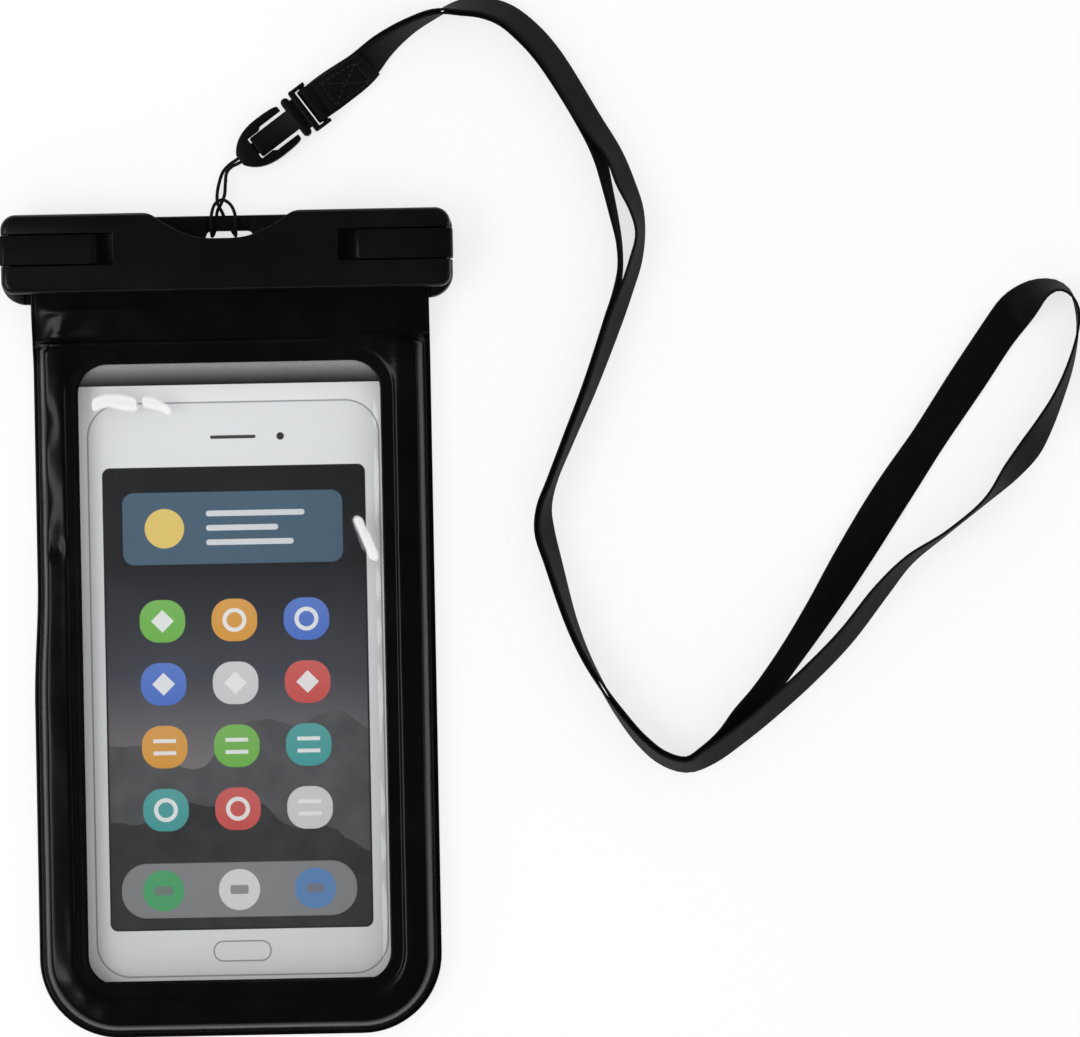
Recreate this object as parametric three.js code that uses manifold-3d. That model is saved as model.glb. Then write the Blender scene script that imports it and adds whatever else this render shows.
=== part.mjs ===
// Waterproof phone pouch lying on its back: two welded films with a clear window, a two-bar
// clamp with a pinned latch at each end, and a neck lanyard on a quick-release clip.
// Millimetres. X runs along the clamp, Y from the closed end to the clamp, Z up, z = 0 is
// the surface that the pouch lies on.
import * as THREE from 'three';
import { mergeVertices } from 'three/addons/utils/BufferGeometryUtils.js';
import Module from 'manifold-3d';

const wasm = await Module();
wasm.setup();

// Pouch films
const POUCH_LENGTH = 217;
const FILM_WIDTH = 106;
const FILM = 0.4;
const CORNER_RADIUS = 21;
const FLANGE_WIDTH = 1.3;
const PUFF_HEIGHT = 7.3;
const PUFF_CREST_INSET = 5.6;
const PUFF_END_INSET = 9.4;
const VALLEY_HEIGHT = 5.9;
const BAND_HEIGHT = 6.25;
const BORDER = 13.3;
const WINDOW_RADIUS = 7.6;
const WINDOW_BOTTOM_BORDER = 14.4;
const WELD_BAND = 3.3;
const WINDOW_FILM_LAP = 3;
const NECK_LENGTH = 13.4;
const SEAM_TO_WINDOW = 5.4;
const NECK_RISE_LENGTH = 20;

// Printed card in the pocket
const CARD_WIDER_THAN_WINDOW = 3.6;
const CARD_SHORTER_THAN_WINDOW = 6;
const CARD_THICKNESS = 0.4;
const CARD_RADIUS = 2;
const CARD_TO_NECK = 11;

// Clamp bars
const CLAMP_LENGTH = 118.8;
const REAR_BAR_DEPTH = 23.4;
const REAR_BAR_HEIGHT = 6.9;
const REAR_EDGE_ROUND = 0.8;
const REAR_LOWER_RADIUS = 6.4;
const FRONT_BAR_INSET = 0.4;
const FRONT_BAR_DEPTH = 20.8;
const FRONT_BAR_HEIGHT = 7;
const FRONT_EDGE_ROUND = 1.7;
const FRONT_LOWER_RADIUS = 3.2;
const UPPER_RADIUS = 4;
const FILM_SEAT_DEPTH = 0.7;
const FILM_GRIP_DEPTH = 9.1;

// Seal tongue and groove, across the bar
const SEAL_BELOW_TOP = 15.5;
const SEAL_DEPTH = 1.6;
const SEAL_FLOOR_WIDTH = 1.6;
const SEAL_MOUTH_WIDTH = 4.4;

// Scoop in the front bar and string rail in the rear bar
const SCOOP_CENTRE_X = -1;
const SCOOP_WIDTH = 38;
const SCOOP_DEPTH = 7.1;
const REAR_BAR_STEP = 0.9;
const RAIL_DEPTH = 4;
const RAIL_HEIGHT = 3.7;
const RAIL_RELIEF_WIDTH = 11.8;
const SLOT_OFFSET_X = 1.7;
const SLOT_WIDTH = 12.6;
const SLOT_HEIGHT = 3.2;

// Latches and their pins
const LATCH_WIDTH = 7.8;
const LATCH_BELOW_TOP = 9.35;
const LATCH_REACH = 26.4;
const LATCH_PLATE = 2.7;
const LATCH_WALL = 2.4;
const LATCH_OVERHANG = 0.6;
const LATCH_NOSE_RADIUS = 2.2;
const BARREL_RADIUS = 2;
const PIVOT_HEIGHT = 4;
const FINGER_WELL_LENGTH = 3.6;
const FINGER_WELL_DEPTH = 4.7;
const PIN_RADIUS = 0.8;
const PIN_CHEEK_GRIP = 2.6;

// String between the clamp and the clip
const STRING_DIAMETER = 0.9;

// Quick-release clip, along its own axis from the string end
const CLIP_TIP = new THREE.Vector3(3.8, 122.2, 0);
const CLIP_ANGLE = THREE.MathUtils.degToRad(36.3);
const CLIP_THICKNESS = 4.6;
const CLIP_EDGE_ROUND = 0.6;
const TIP_LENGTH = 5;
const ARM_LENGTH = 16.4;
const ARM_SPREAD = 12;
const ARM_SLOT_START = 8.6;
const GUIDE_WIDTH = 3.4;
const GUIDE_THICKNESS = 1.2;
const GUIDE_LENGTH = 11;
const SLEEVE_WIDTH = 5.8;
const COLLAR_START = 17.5;
const COLLAR_LENGTH = 2.4;
const COLLAR_WIDTH = 11.8;
const FRAME_NECK_LENGTH = 0.7;
const FRAME_NECK_WIDTH = 9;
const FRAME_BODY_LENGTH = 1.7;
const FRAME_CHEEK = 0.9;
const STRAP_BAR_RADIUS = 0.8;

// Lanyard strap
const STRAP_WIDTH = 10.2;
const STRAP_THICKNESS = 0.7;
const STRAP_EDGE_CHAMFER = 0.2;
const STRAP_PLY_GAP = 0.8;
const STRAP_FLOOR_GAP = 0.1;
const STRAP_STEP = 5.6;

// Clearances
const SEAM_GAP = 0.3;
const SLIDE_GAP = 0.35;
const PIN_GAP = 0.3;
const SWING_GAP = 0.5;

// Places that follow from the sizes above
const TOP_Y = POUCH_LENGTH / 2;
const BOTTOM_Y = -POUCH_LENGTH / 2;
const HALF_FILM = FILM_WIDTH / 2;
const FRONT_BAR_LENGTH = CLAMP_LENGTH - 2 * FRONT_BAR_INSET;
const FRONT_BAR_LOW_Y = TOP_Y - FRONT_BAR_DEPTH;
const REAR_BAR_LOW_Y = TOP_Y - REAR_BAR_DEPTH;
const NECK_SEAM_Y = FRONT_BAR_LOW_Y - NECK_LENGTH;
const FILM_TOP_Y = TOP_Y - FILM_GRIP_DEPTH;
const FRONT_BAR_Z = REAR_BAR_HEIGHT + SEAM_GAP;
const CLAMP_TOP_Z = FRONT_BAR_Z + FRONT_BAR_HEIGHT;
const SEAT_Z = REAR_BAR_HEIGHT - FILM_SEAT_DEPTH;
const JAW_RISE = SEAT_Z + SEAM_GAP;
const FRONT_FILM_LIFT = FILM + SEAM_GAP;
const CEILING_Z = JAW_RISE + FRONT_FILM_LIFT + FILM + SEAM_GAP;
const RISE_END_Y = REAR_BAR_LOW_Y + 1;
const RISE_START_Y = RISE_END_Y - NECK_RISE_LENGTH;
const SEAL_Y = TOP_Y - SEAL_BELOW_TOP;
const WINDOW_LOW_Y = BOTTOM_Y + WINDOW_BOTTOM_BORDER;
const WINDOW_TOP_Y = NECK_SEAM_Y - SEAM_TO_WINDOW;
const WINDOW_LENGTH = WINDOW_TOP_Y - WINDOW_LOW_Y;
const WINDOW_HALF = HALF_FILM - BORDER;
const CARD_WIDTH = 2 * WINDOW_HALF + CARD_WIDER_THAN_WINDOW;
const CARD_LENGTH = WINDOW_LENGTH - CARD_SHORTER_THAN_WINDOW;
const REAR_BAR_TOP_Y = TOP_Y - REAR_BAR_STEP;
const SLOT_HIGH_Y = REAR_BAR_TOP_Y - RAIL_DEPTH;
const LATCH_Y = TOP_Y - LATCH_BELOW_TOP;
const LATCH_OUTER_X = FRONT_BAR_LENGTH / 2 + LATCH_OVERHANG;
const LATCH_INNER_X = LATCH_OUTER_X - LATCH_REACH;
const PIVOT_X = LATCH_OUTER_X - BARREL_RADIUS;
const LATCH_BAY = LATCH_WIDTH + 2 * SLIDE_GAP;
const STRING_RADIUS = STRING_DIAMETER / 2;

// Shape helpers
function toSolid(geometry) {
  const bare = geometry.clone();
  bare.deleteAttribute('normal');
  bare.deleteAttribute('uv');
  const merged = mergeVertices(bare, 1e-4);
  return new wasm.Manifold(new wasm.Mesh({
    numProp: 3,
    vertProperties: new Float32Array(merged.attributes.position.array),
    triVerts: new Uint32Array(merged.index.array),
  }));
}

function toGeometry(solid) {
  const mesh = solid.getMesh();
  const geometry = new THREE.BufferGeometry();
  geometry.setAttribute('position', new THREE.BufferAttribute(mesh.vertProperties, 3));
  geometry.setIndex(new THREE.BufferAttribute(mesh.triVerts, 1));
  geometry.computeVertexNormals();
  return geometry;
}

function box(x0, x1, y0, y1, z0, z1) {
  const geometry = new THREE.BoxGeometry(x1 - x0, y1 - y0, z1 - z0);
  return geometry.translate((x0 + x1) / 2, (y0 + y1) / 2, (z0 + z1) / 2);
}

function boxSolid(...limits) {
  return toSolid(box(...limits));
}

// A plate of an outline in XY, with both rims rounded by edge.
function plate(shape, z0, z1, edge = 0, curveSegments = 8) {
  const geometry = new THREE.ExtrudeGeometry(shape, {
    depth: z1 - z0 - 2 * edge,
    bevelEnabled: edge > 0,
    bevelThickness: edge,
    bevelSize: edge,
    bevelOffset: -edge,
    bevelSegments: edge > 1 ? 4 : 2,
    curveSegments,
  });
  return geometry.translate(0, 0, z0 + edge);
}

// A profile drawn in the YZ plane, carried along X.
function alongX(profile, x0, x1) {
  const geometry = new THREE.ExtrudeGeometry(new THREE.Shape(profile.map(([y, z]) =>
    new THREE.Vector2(y, z))), { depth: x1 - x0, bevelEnabled: false });
  const axes = new THREE.Matrix4().makeBasis(
    new THREE.Vector3(0, 1, 0), new THREE.Vector3(0, 0, 1), new THREE.Vector3(1, 0, 0));
  return geometry.applyMatrix4(axes).translate(x0, 0, 0);
}

// A shape drawn in the XZ plane, carried along Y and centred on middleY.
function alongY(shape, width, middleY, edge = 0, curveSegments = 8) {
  const geometry = plate(shape, -width / 2, width / 2, edge, curveSegments);
  return geometry.rotateX(Math.PI / 2).translate(0, middleY, 0);
}

function rodAlongY(radius, x, z, y0, y1, segments = 16) {
  const geometry = new THREE.CylinderGeometry(radius, radius, y1 - y0, segments);
  return geometry.translate(x, (y0 + y1) / 2, z);
}

function mirrorX(geometry) {
  const mirrored = geometry.clone().applyMatrix4(new THREE.Matrix4().makeScale(-1, 1, 1));
  const index = mirrored.index.array;
  for (let i = 0; i < index.length; i += 3) {
    [index[i + 1], index[i + 2]] = [index[i + 2], index[i + 1]];
  }
  return mirrored;
}

function roundedRect(x0, x1, y0, y1, lower, upper = lower) {
  const shape = new THREE.Shape();
  shape.moveTo(x0 + lower, y0);
  shape.lineTo(x1 - lower, y0);
  shape.absarc(x1 - lower, y0 + lower, lower, -Math.PI / 2, 0);
  shape.lineTo(x1, y1 - upper);
  shape.absarc(x1 - upper, y1 - upper, upper, 0, Math.PI / 2);
  shape.lineTo(x0 + upper, y1);
  shape.absarc(x0 + upper, y1 - upper, upper, Math.PI / 2, Math.PI);
  shape.lineTo(x0, y0 + lower);
  shape.absarc(x0 + lower, y0 + lower, lower, Math.PI, 1.5 * Math.PI);
  return shape;
}

// Film surfaces as heights over the plane
const { clamp, smoothstep, lerp } = THREE.MathUtils;

// Depth of the seal dip at y, the same for groove, films and tongue.
function sealDip(y) {
  const offset = Math.abs(y - SEAL_Y);
  const slope = (SEAL_MOUTH_WIDTH - SEAL_FLOOR_WIDTH) / 2;
  return SEAL_DEPTH * clamp((SEAL_MOUTH_WIDTH / 2 - offset) / slope, 0, 1);
}

// The back film lies flat and climbs to the clamp's parting plane along the neck.
function backRise(y) {
  return JAW_RISE * smoothstep(y, RISE_START_Y, RISE_END_Y);
}

function outlineInset(x, y) {
  const side = HALF_FILM - Math.abs(x);
  const end = y - BOTTOM_Y;
  if (side >= CORNER_RADIUS || end >= CORNER_RADIUS) return Math.min(side, end);
  return CORNER_RADIUS - Math.hypot(CORNER_RADIUS - side, CORNER_RADIUS - end);
}

function windowOutset(x, y) {
  const middleY = (WINDOW_LOW_Y + WINDOW_TOP_Y) / 2;
  const dx = Math.abs(x) - (WINDOW_HALF - WINDOW_RADIUS);
  const dy = Math.abs(y - middleY) - (WINDOW_LENGTH / 2 - WINDOW_RADIUS);
  return Math.hypot(Math.max(dx, 0), Math.max(dy, 0)) + Math.min(Math.max(dx, dy), 0)
    - WINDOW_RADIUS;
}

// Height of the front film over the flange: a soft puff, a valley, then the weld band.
function puffLift(x, y) {
  const inset = outlineInset(x, y);
  const outset = windowOutset(x, y);
  const climb = Math.sin(0.5 * Math.PI * clamp(
    (inset - FLANGE_WIDTH) / (PUFF_CREST_INSET - FLANGE_WIDTH), 0, 1));
  const fall = smoothstep(inset, PUFF_CREST_INSET, PUFF_END_INSET);
  const puff = PUFF_HEIGHT * climb + (VALLEY_HEIGHT - PUFF_HEIGHT) * fall;
  const band = 1 - smoothstep(outset, WELD_BAND, WELD_BAND + 0.6);
  return lerp(puff, BAND_HEIGHT, band);
}

function frontFilmUnder(x, y) {
  const rise = backRise(y);
  return rise + FRONT_FILM_LIFT + puffLift(x, y) * (1 - rise / JAW_RISE) - sealDip(y);
}

// Film thickness measured upright, thicker where the film stands steeply.
function frontFilmOver(x, y) {
  const step = 0.2;
  const slopeX = (frontFilmUnder(x + step, y) - frontFilmUnder(x - step, y)) / (2 * step);
  const slopeY = (frontFilmUnder(x, y + step) - frontFilmUnder(x, y - step)) / (2 * step);
  const steepness = y > RISE_END_Y ? 0 : Math.hypot(slopeX, slopeY);
  return frontFilmUnder(x, y) + FILM * Math.min(Math.hypot(1, steepness), 2);
}

function backFilmUnder(x, y) {
  return backRise(y) - sealDip(y);
}

function backFilmOver(x, y) {
  return backFilmUnder(x, y) + FILM;
}

// A sheet over a flat patch of quads: top, underside and a wall along each free edge.
function filmSheet(quads, under, over) {
  const points = [];
  const numbers = new Map();
  const numberOf = ([x, y]) => {
    const key = `${x.toFixed(4)},${y.toFixed(4)}`;
    if (!numbers.has(key)) {
      numbers.set(key, points.length);
      points.push([x, y]);
    }
    return numbers.get(key);
  };
  // Each quad is split along its more level diagonal, so that creases run with the form.
  const flat = [];
  for (const quad of quads) {
    const [a, b, c, d] = quad.map(numberOf);
    const [ha, hb, hc, hd] = quad.map(([x, y]) => under(x, y));
    const split = Math.abs(ha - hc) <= Math.abs(hb - hd)
      ? [[a, b, c], [a, c, d]]
      : [[b, c, d], [b, d, a]];
    flat.push(...split.filter((triangle) => new Set(triangle).size === 3));
  }
  const edges = new Map();
  for (const [a, b, c] of flat) {
    for (const [p, q] of [[a, b], [b, c], [c, a]]) {
      if (edges.has(`${q},${p}`)) edges.delete(`${q},${p}`);
      else edges.set(`${p},${q}`, [p, q]);
    }
  }
  const count = points.length;
  const index = [];
  for (const [a, b, c] of flat) {
    index.push(a + count, b + count, c + count, c, b, a);
  }
  for (const [p, q] of edges.values()) {
    index.push(p, q, q + count, p, q + count, p + count);
  }
  const heights = (surface) => points.flatMap(([x, y]) => [x, y, surface(x, y)]);
  const geometry = new THREE.BufferGeometry();
  const positions = new Float32Array([...heights(under), ...heights(over)]);
  geometry.setAttribute('position', new THREE.BufferAttribute(positions, 3));
  geometry.setIndex(index);
  geometry.computeVertexNormals();
  return geometry;
}

function arcPoints(cx, cy, radius, from, segments) {
  return Array.from({ length: segments + 1 }, (_, i) => {
    const angle = from + (i / segments) * Math.PI / 2;
    return [cx + radius * Math.cos(angle), cy + radius * Math.sin(angle)];
  });
}

function between(start, end, fractions) {
  return fractions.map((f) => [lerp(start[0], end[0], f), lerp(start[1], end[1], f)]);
}

const EDGE_INSETS = [FLANGE_WIDTH, 2.6, 4, PUFF_CREST_INSET, 7.5, PUFF_END_INSET];
const EDGE_FRACTIONS = EDGE_INSETS.map((inset) => inset / FILM_WIDTH);
const ACROSS_FRACTIONS = [...EDGE_FRACTIONS, 0.25, 0.5, 0.75,
  ...EDGE_FRACTIONS.map((f) => 1 - f).reverse()];
const ALONG_FRACTIONS = [0.12, 0.25, 0.38, 0.5, 0.62, 0.74, 0.84, 0.9, 0.94, 0.97];
const LOWER_ARC = 7;
const UPPER_ARC = 4;

// One loop round the window, from the lower left corner anticlockwise.
function borderLoop(half, low, high, lowerRadius, upperRadius) {
  const side = ALONG_FRACTIONS.map((f) => 1 - f).reverse();
  const right = arcPoints(half - lowerRadius, low + lowerRadius, lowerRadius, -Math.PI / 2, LOWER_ARC);
  const topRight = arcPoints(half - upperRadius, high - upperRadius, upperRadius, 0, UPPER_ARC);
  const topLeft = arcPoints(-half + upperRadius, high - upperRadius, upperRadius, Math.PI / 2,
    UPPER_ARC);
  const left = arcPoints(-half + lowerRadius, low + lowerRadius, lowerRadius, Math.PI, LOWER_ARC);
  const across = [0.2, 0.4, 0.6, 0.8];
  return [
    ...left, ...between(left.at(-1), right[0], across),
    ...right, ...between(right.at(-1), topRight[0], ALONG_FRACTIONS),
    ...topRight, ...between(topRight.at(-1), topLeft[0], ACROSS_FRACTIONS),
    ...topLeft, ...between(topLeft.at(-1), left[0], side),
  ];
}

function ringQuads(outer, inner) {
  return outer.map((point, i) => {
    const next = (i + 1) % outer.length;
    return [point, outer[next], inner[next], inner[i]];
  });
}

function gridQuads(rows) {
  const quads = [];
  for (let j = 0; j + 1 < rows.length; j += 1) {
    for (let i = 0; i + 1 < rows[j].length; i += 1) {
      quads.push([rows[j][i], rows[j][i + 1], rows[j + 1][i + 1], rows[j + 1][i]]);
    }
  }
  return quads;
}

// Heights of the rows that cross the neck and the clamp, fine where the film bends.
function neckRows() {
  const bend = [SEAL_MOUTH_WIDTH / 2, SEAL_FLOOR_WIDTH / 2];
  const climb = [0.25, 0.5, 0.75, 1].map((f) => lerp(NECK_SEAM_Y, RISE_END_Y, f));
  return [NECK_SEAM_Y, ...climb, ...bend.map((b) => SEAL_Y - b),
    ...[...bend].reverse().map((b) => SEAL_Y + b), FILM_TOP_Y];
}

function frontFrame() {
  const insets = [0, FLANGE_WIDTH, 2, 3, 4.2, PUFF_CREST_INSET, 6.8, 7.9, PUFF_END_INSET,
    BORDER - WELD_BAND, BORDER - WELD_BAND / 2, BORDER];
  const loops = insets.map((inset) => {
    const share = inset / BORDER;
    const low = lerp(BOTTOM_Y, WINDOW_LOW_Y, share);
    const outset = BORDER - inset;
    const high = outset <= WELD_BAND
      ? WINDOW_TOP_Y + outset
      : lerp(NECK_SEAM_Y, WINDOW_TOP_Y + WELD_BAND, inset / (BORDER - WELD_BAND));
    const upper = outset <= WELD_BAND
      ? WINDOW_RADIUS + outset
      : (WINDOW_RADIUS + WELD_BAND) * inset / (BORDER - WELD_BAND);
    return borderLoop(HALF_FILM - inset, low, high, lerp(CORNER_RADIUS, WINDOW_RADIUS, share), upper);
  });
  const quads = loops.slice(1).flatMap((loop, i) => ringQuads(loops[i], loop));
  const columns = [0, ...ACROSS_FRACTIONS, 1].map((f) => lerp(-HALF_FILM, HALF_FILM, f));
  const rows = neckRows().map((y) => columns.map((x) => [x, y]));
  return filmSheet([...quads, ...gridQuads(rows)], frontFilmUnder, frontFilmOver);
}

function backFilm() {
  const columns = [0, 0.05, 0.15, 0.3, 0.5, 0.7, 0.85, 0.95, 1];
  const arc = Array.from({ length: 9 }, (_, i) => i / 8 * Math.PI / 2);
  const cornerRows = arc.map((angle) => {
    const half = HALF_FILM - CORNER_RADIUS + CORNER_RADIUS * Math.sin(angle);
    return { y: BOTTOM_Y + CORNER_RADIUS * (1 - Math.cos(angle)), half };
  });
  const straight = [-45, 0, RISE_START_Y, RISE_START_Y + 3, RISE_START_Y + 6, ...neckRows()];
  const rows = [...cornerRows, ...straight.map((y) => ({ y, half: HALF_FILM }))]
    .map(({ y, half }) => columns.map((f) => [lerp(-half, half, f), y]));
  return filmSheet(gridQuads(rows), backFilmUnder, backFilmOver);
}

function windowFilm() {
  const lap = WINDOW_FILM_LAP;
  const top = FRONT_FILM_LIFT + BAND_HEIGHT - SEAM_GAP;
  const shape = roundedRect(-WINDOW_HALF - lap, WINDOW_HALF + lap, WINDOW_LOW_Y - lap,
    WINDOW_TOP_Y + lap, WINDOW_RADIUS + lap);
  return plate(shape, top - FILM, top);
}

function displayCard() {
  const topY = NECK_SEAM_Y - CARD_TO_NECK;
  const shape = roundedRect(-CARD_WIDTH / 2, CARD_WIDTH / 2, topY - CARD_LENGTH, topY, CARD_RADIUS);
  const bottomZ = FILM + SEAM_GAP;
  return plate(shape, bottomZ, bottomZ + CARD_THICKNESS, 0, 4);
}

// Seal profile across a bar, closed by a flat at flatZ.
function sealProfile(levelZ, flatZ, y0, y1) {
  const mouth = SEAL_MOUTH_WIDTH / 2;
  const floor = SEAL_FLOOR_WIDTH / 2;
  const low = levelZ - SEAL_DEPTH;
  return [[y0, flatZ], [y0, levelZ], [SEAL_Y - mouth, levelZ], [SEAL_Y - floor, low],
    [SEAL_Y + floor, low], [SEAL_Y + mouth, levelZ], [y1, levelZ], [y1, flatZ]];
}

const SEAT_HALF = HALF_FILM + 0.5;
const SEAT_TOP_Y = FILM_TOP_Y + 0.4;

function rearClampBar() {
  const half = CLAMP_LENGTH / 2;
  const outline = roundedRect(-half, half, REAR_BAR_LOW_Y, REAR_BAR_TOP_Y, REAR_LOWER_RADIUS,
    UPPER_RADIUS);
  const through = REAR_BAR_HEIGHT + 1;
  let bar = toSolid(plate(outline, 0, REAR_BAR_HEIGHT, REAR_EDGE_ROUND));
  const seat = sealProfile(SEAT_Z, through, REAR_BAR_LOW_Y - 1, SEAT_TOP_Y).reverse();
  bar = bar.subtract(toSolid(alongX(seat, -SEAT_HALF, SEAT_HALF)));
  const slotX = SCOOP_CENTRE_X + SLOT_OFFSET_X;
  const slot = roundedRect(slotX - SLOT_WIDTH / 2, slotX + SLOT_WIDTH / 2, SLOT_HIGH_Y - SLOT_HEIGHT,
    SLOT_HIGH_Y, SLOT_HEIGHT / 2 - 0.01);
  bar = bar.subtract(toSolid(plate(slot, -1, through, 0, 4)));
  const reliefZ = (REAR_BAR_HEIGHT - RAIL_HEIGHT) / 2;
  const reliefX = [slotX - RAIL_RELIEF_WIDTH / 2, slotX + RAIL_RELIEF_WIDTH / 2];
  const reliefY = [SLOT_HIGH_Y - 1, TOP_Y + 1];
  bar = bar.subtract(boxSolid(...reliefX, ...reliefY, -1, reliefZ));
  bar = bar.subtract(boxSolid(...reliefX, ...reliefY, REAR_BAR_HEIGHT - reliefZ, through));
  const bayInner = PIVOT_X - BARREL_RADIUS - SWING_GAP;
  for (const side of [-1, 1]) {
    const bayX = [side * bayInner, side * (half + 1)].sort((a, b) => a - b);
    bar = bar.subtract(boxSolid(...bayX, LATCH_Y - LATCH_BAY / 2, LATCH_Y + LATCH_BAY / 2, -1, through));
    const grip = LATCH_BAY / 2 + PIN_CHEEK_GRIP;
    bar = bar.subtract(toSolid(rodAlongY(PIN_RADIUS + PIN_GAP, side * PIVOT_X, PIVOT_HEIGHT,
      LATCH_Y - grip, LATCH_Y + grip, 16)));
  }
  return toGeometry(bar);
}

function frontBarOutline() {
  const half = FRONT_BAR_LENGTH / 2;
  return roundedRect(-half, half, FRONT_BAR_LOW_Y, TOP_Y, FRONT_LOWER_RADIUS, UPPER_RADIUS);
}

// The scoop is cut as a shallow bowl-shaped outline with eased shoulders.
function scoopShape() {
  const half = SCOOP_WIDTH / 2;
  const shape = new THREE.Shape();
  const floorY = TOP_Y - SCOOP_DEPTH;
  shape.moveTo(SCOOP_CENTRE_X - half - 2, TOP_Y + 3);
  shape.lineTo(SCOOP_CENTRE_X - half - 2, TOP_Y + 0.01);
  shape.bezierCurveTo(SCOOP_CENTRE_X - half + 1.5, TOP_Y - 0.2, SCOOP_CENTRE_X - half + 1.5,
    TOP_Y - 1.6, SCOOP_CENTRE_X - half + 4.5, TOP_Y - 3.2);
  shape.bezierCurveTo(SCOOP_CENTRE_X - 8, floorY, SCOOP_CENTRE_X - 5, floorY, SCOOP_CENTRE_X, floorY);
  shape.bezierCurveTo(SCOOP_CENTRE_X + 5, floorY, SCOOP_CENTRE_X + 8, floorY,
    SCOOP_CENTRE_X + half - 4.5, TOP_Y - 3.2);
  shape.bezierCurveTo(SCOOP_CENTRE_X + half - 1.5, TOP_Y - 1.6, SCOOP_CENTRE_X + half - 1.5,
    TOP_Y - 0.2, SCOOP_CENTRE_X + half + 2, TOP_Y + 0.01);
  shape.lineTo(SCOOP_CENTRE_X + half + 2, TOP_Y + 3);
  return shape;
}

function frontClampBar() {
  const under = FRONT_BAR_Z - 2 * FRONT_EDGE_ROUND;
  let bar = toSolid(plate(frontBarOutline(), under, CLAMP_TOP_Z, FRONT_EDGE_ROUND));
  const reach = FRONT_BAR_LENGTH;
  bar = bar.subtract(boxSolid(-reach, reach, 0, 2 * TOP_Y, under - 1, FRONT_BAR_Z));
  bar = bar.subtract(boxSolid(-SEAT_HALF, SEAT_HALF, FRONT_BAR_LOW_Y - 1, SEAT_TOP_Y, 0, CEILING_Z));
  const tongue = sealProfile(CEILING_Z, CEILING_Z + 1, SEAL_Y - SEAL_MOUTH_WIDTH / 2 - 0.5,
    SEAL_Y + SEAL_MOUTH_WIDTH / 2 + 0.5).reverse();
  bar = bar.add(toSolid(alongX(tongue, -SEAT_HALF, SEAT_HALF)));
  bar = bar.subtract(toSolid(plate(scoopShape(), 0, CLAMP_TOP_Z + 1)));
  const bay = [LATCH_Y - LATCH_BAY / 2, LATCH_Y + LATCH_BAY / 2];
  const wellX = LATCH_INNER_X - FINGER_WELL_LENGTH;
  for (const side of [-1, 1]) {
    const span = (a, b) => [side * a, side * b].sort((p, q) => p - q);
    const above = CLAMP_TOP_Z + 1;
    bar = bar.subtract(boxSolid(...span(wellX, reach), ...bay,
      CLAMP_TOP_Z - LATCH_PLATE - SEAM_GAP, above));
    bar = bar.subtract(boxSolid(...span(wellX, LATCH_INNER_X + 1), ...bay,
      CLAMP_TOP_Z - FINGER_WELL_DEPTH, above));
    bar = bar.subtract(boxSolid(...span(LATCH_OUTER_X - LATCH_WALL - SLIDE_GAP, reach), ...bay, 0, above));
  }
  return toGeometry(bar);
}

// L-shaped lever: plate over the front bar, wall down the end, barrel round the pin.
function latchRight() {
  const top = CLAMP_TOP_Z;
  const inner = LATCH_OUTER_X - LATCH_WALL;
  const shape = new THREE.Shape();
  shape.moveTo(inner, top - LATCH_PLATE);
  shape.lineTo(LATCH_INNER_X, top - LATCH_PLATE);
  shape.lineTo(LATCH_INNER_X, top - LATCH_NOSE_RADIUS);
  shape.absarc(LATCH_INNER_X + LATCH_NOSE_RADIUS, top - LATCH_NOSE_RADIUS, LATCH_NOSE_RADIUS,
    Math.PI, Math.PI / 2, true);
  shape.lineTo(LATCH_OUTER_X - FRONT_EDGE_ROUND, top);
  shape.absarc(LATCH_OUTER_X - FRONT_EDGE_ROUND, top - FRONT_EDGE_ROUND, FRONT_EDGE_ROUND,
    Math.PI / 2, 0, true);
  shape.lineTo(LATCH_OUTER_X, PIVOT_HEIGHT);
  shape.absarc(PIVOT_X, PIVOT_HEIGHT, BARREL_RADIUS, 0, -1.35 * Math.PI, true);
  shape.lineTo(inner, PIVOT_HEIGHT + BARREL_RADIUS + 0.6);
  const lever = toSolid(alongY(shape, LATCH_WIDTH, LATCH_Y, 0.3));
  const bore = rodAlongY(PIN_RADIUS + PIN_GAP, PIVOT_X, PIVOT_HEIGHT, LATCH_Y - LATCH_WIDTH,
    LATCH_Y + LATCH_WIDTH);
  return toGeometry(lever.subtract(toSolid(bore)));
}

function latchPin(side) {
  const grip = LATCH_BAY / 2 + PIN_CHEEK_GRIP - PIN_GAP;
  return rodAlongY(PIN_RADIUS, side * PIVOT_X, PIVOT_HEIGHT, LATCH_Y - grip, LATCH_Y + grip, 16);
}

// Clip halves, drawn along +X of their own frame, width along Y
const CLIP_MID_Z = CLIP_THICKNESS / 2;
const SLEEVE_HALF = SLEEVE_WIDTH / 2;
const SLEEVE_START = TIP_LENGTH + SLIDE_GAP;

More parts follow.
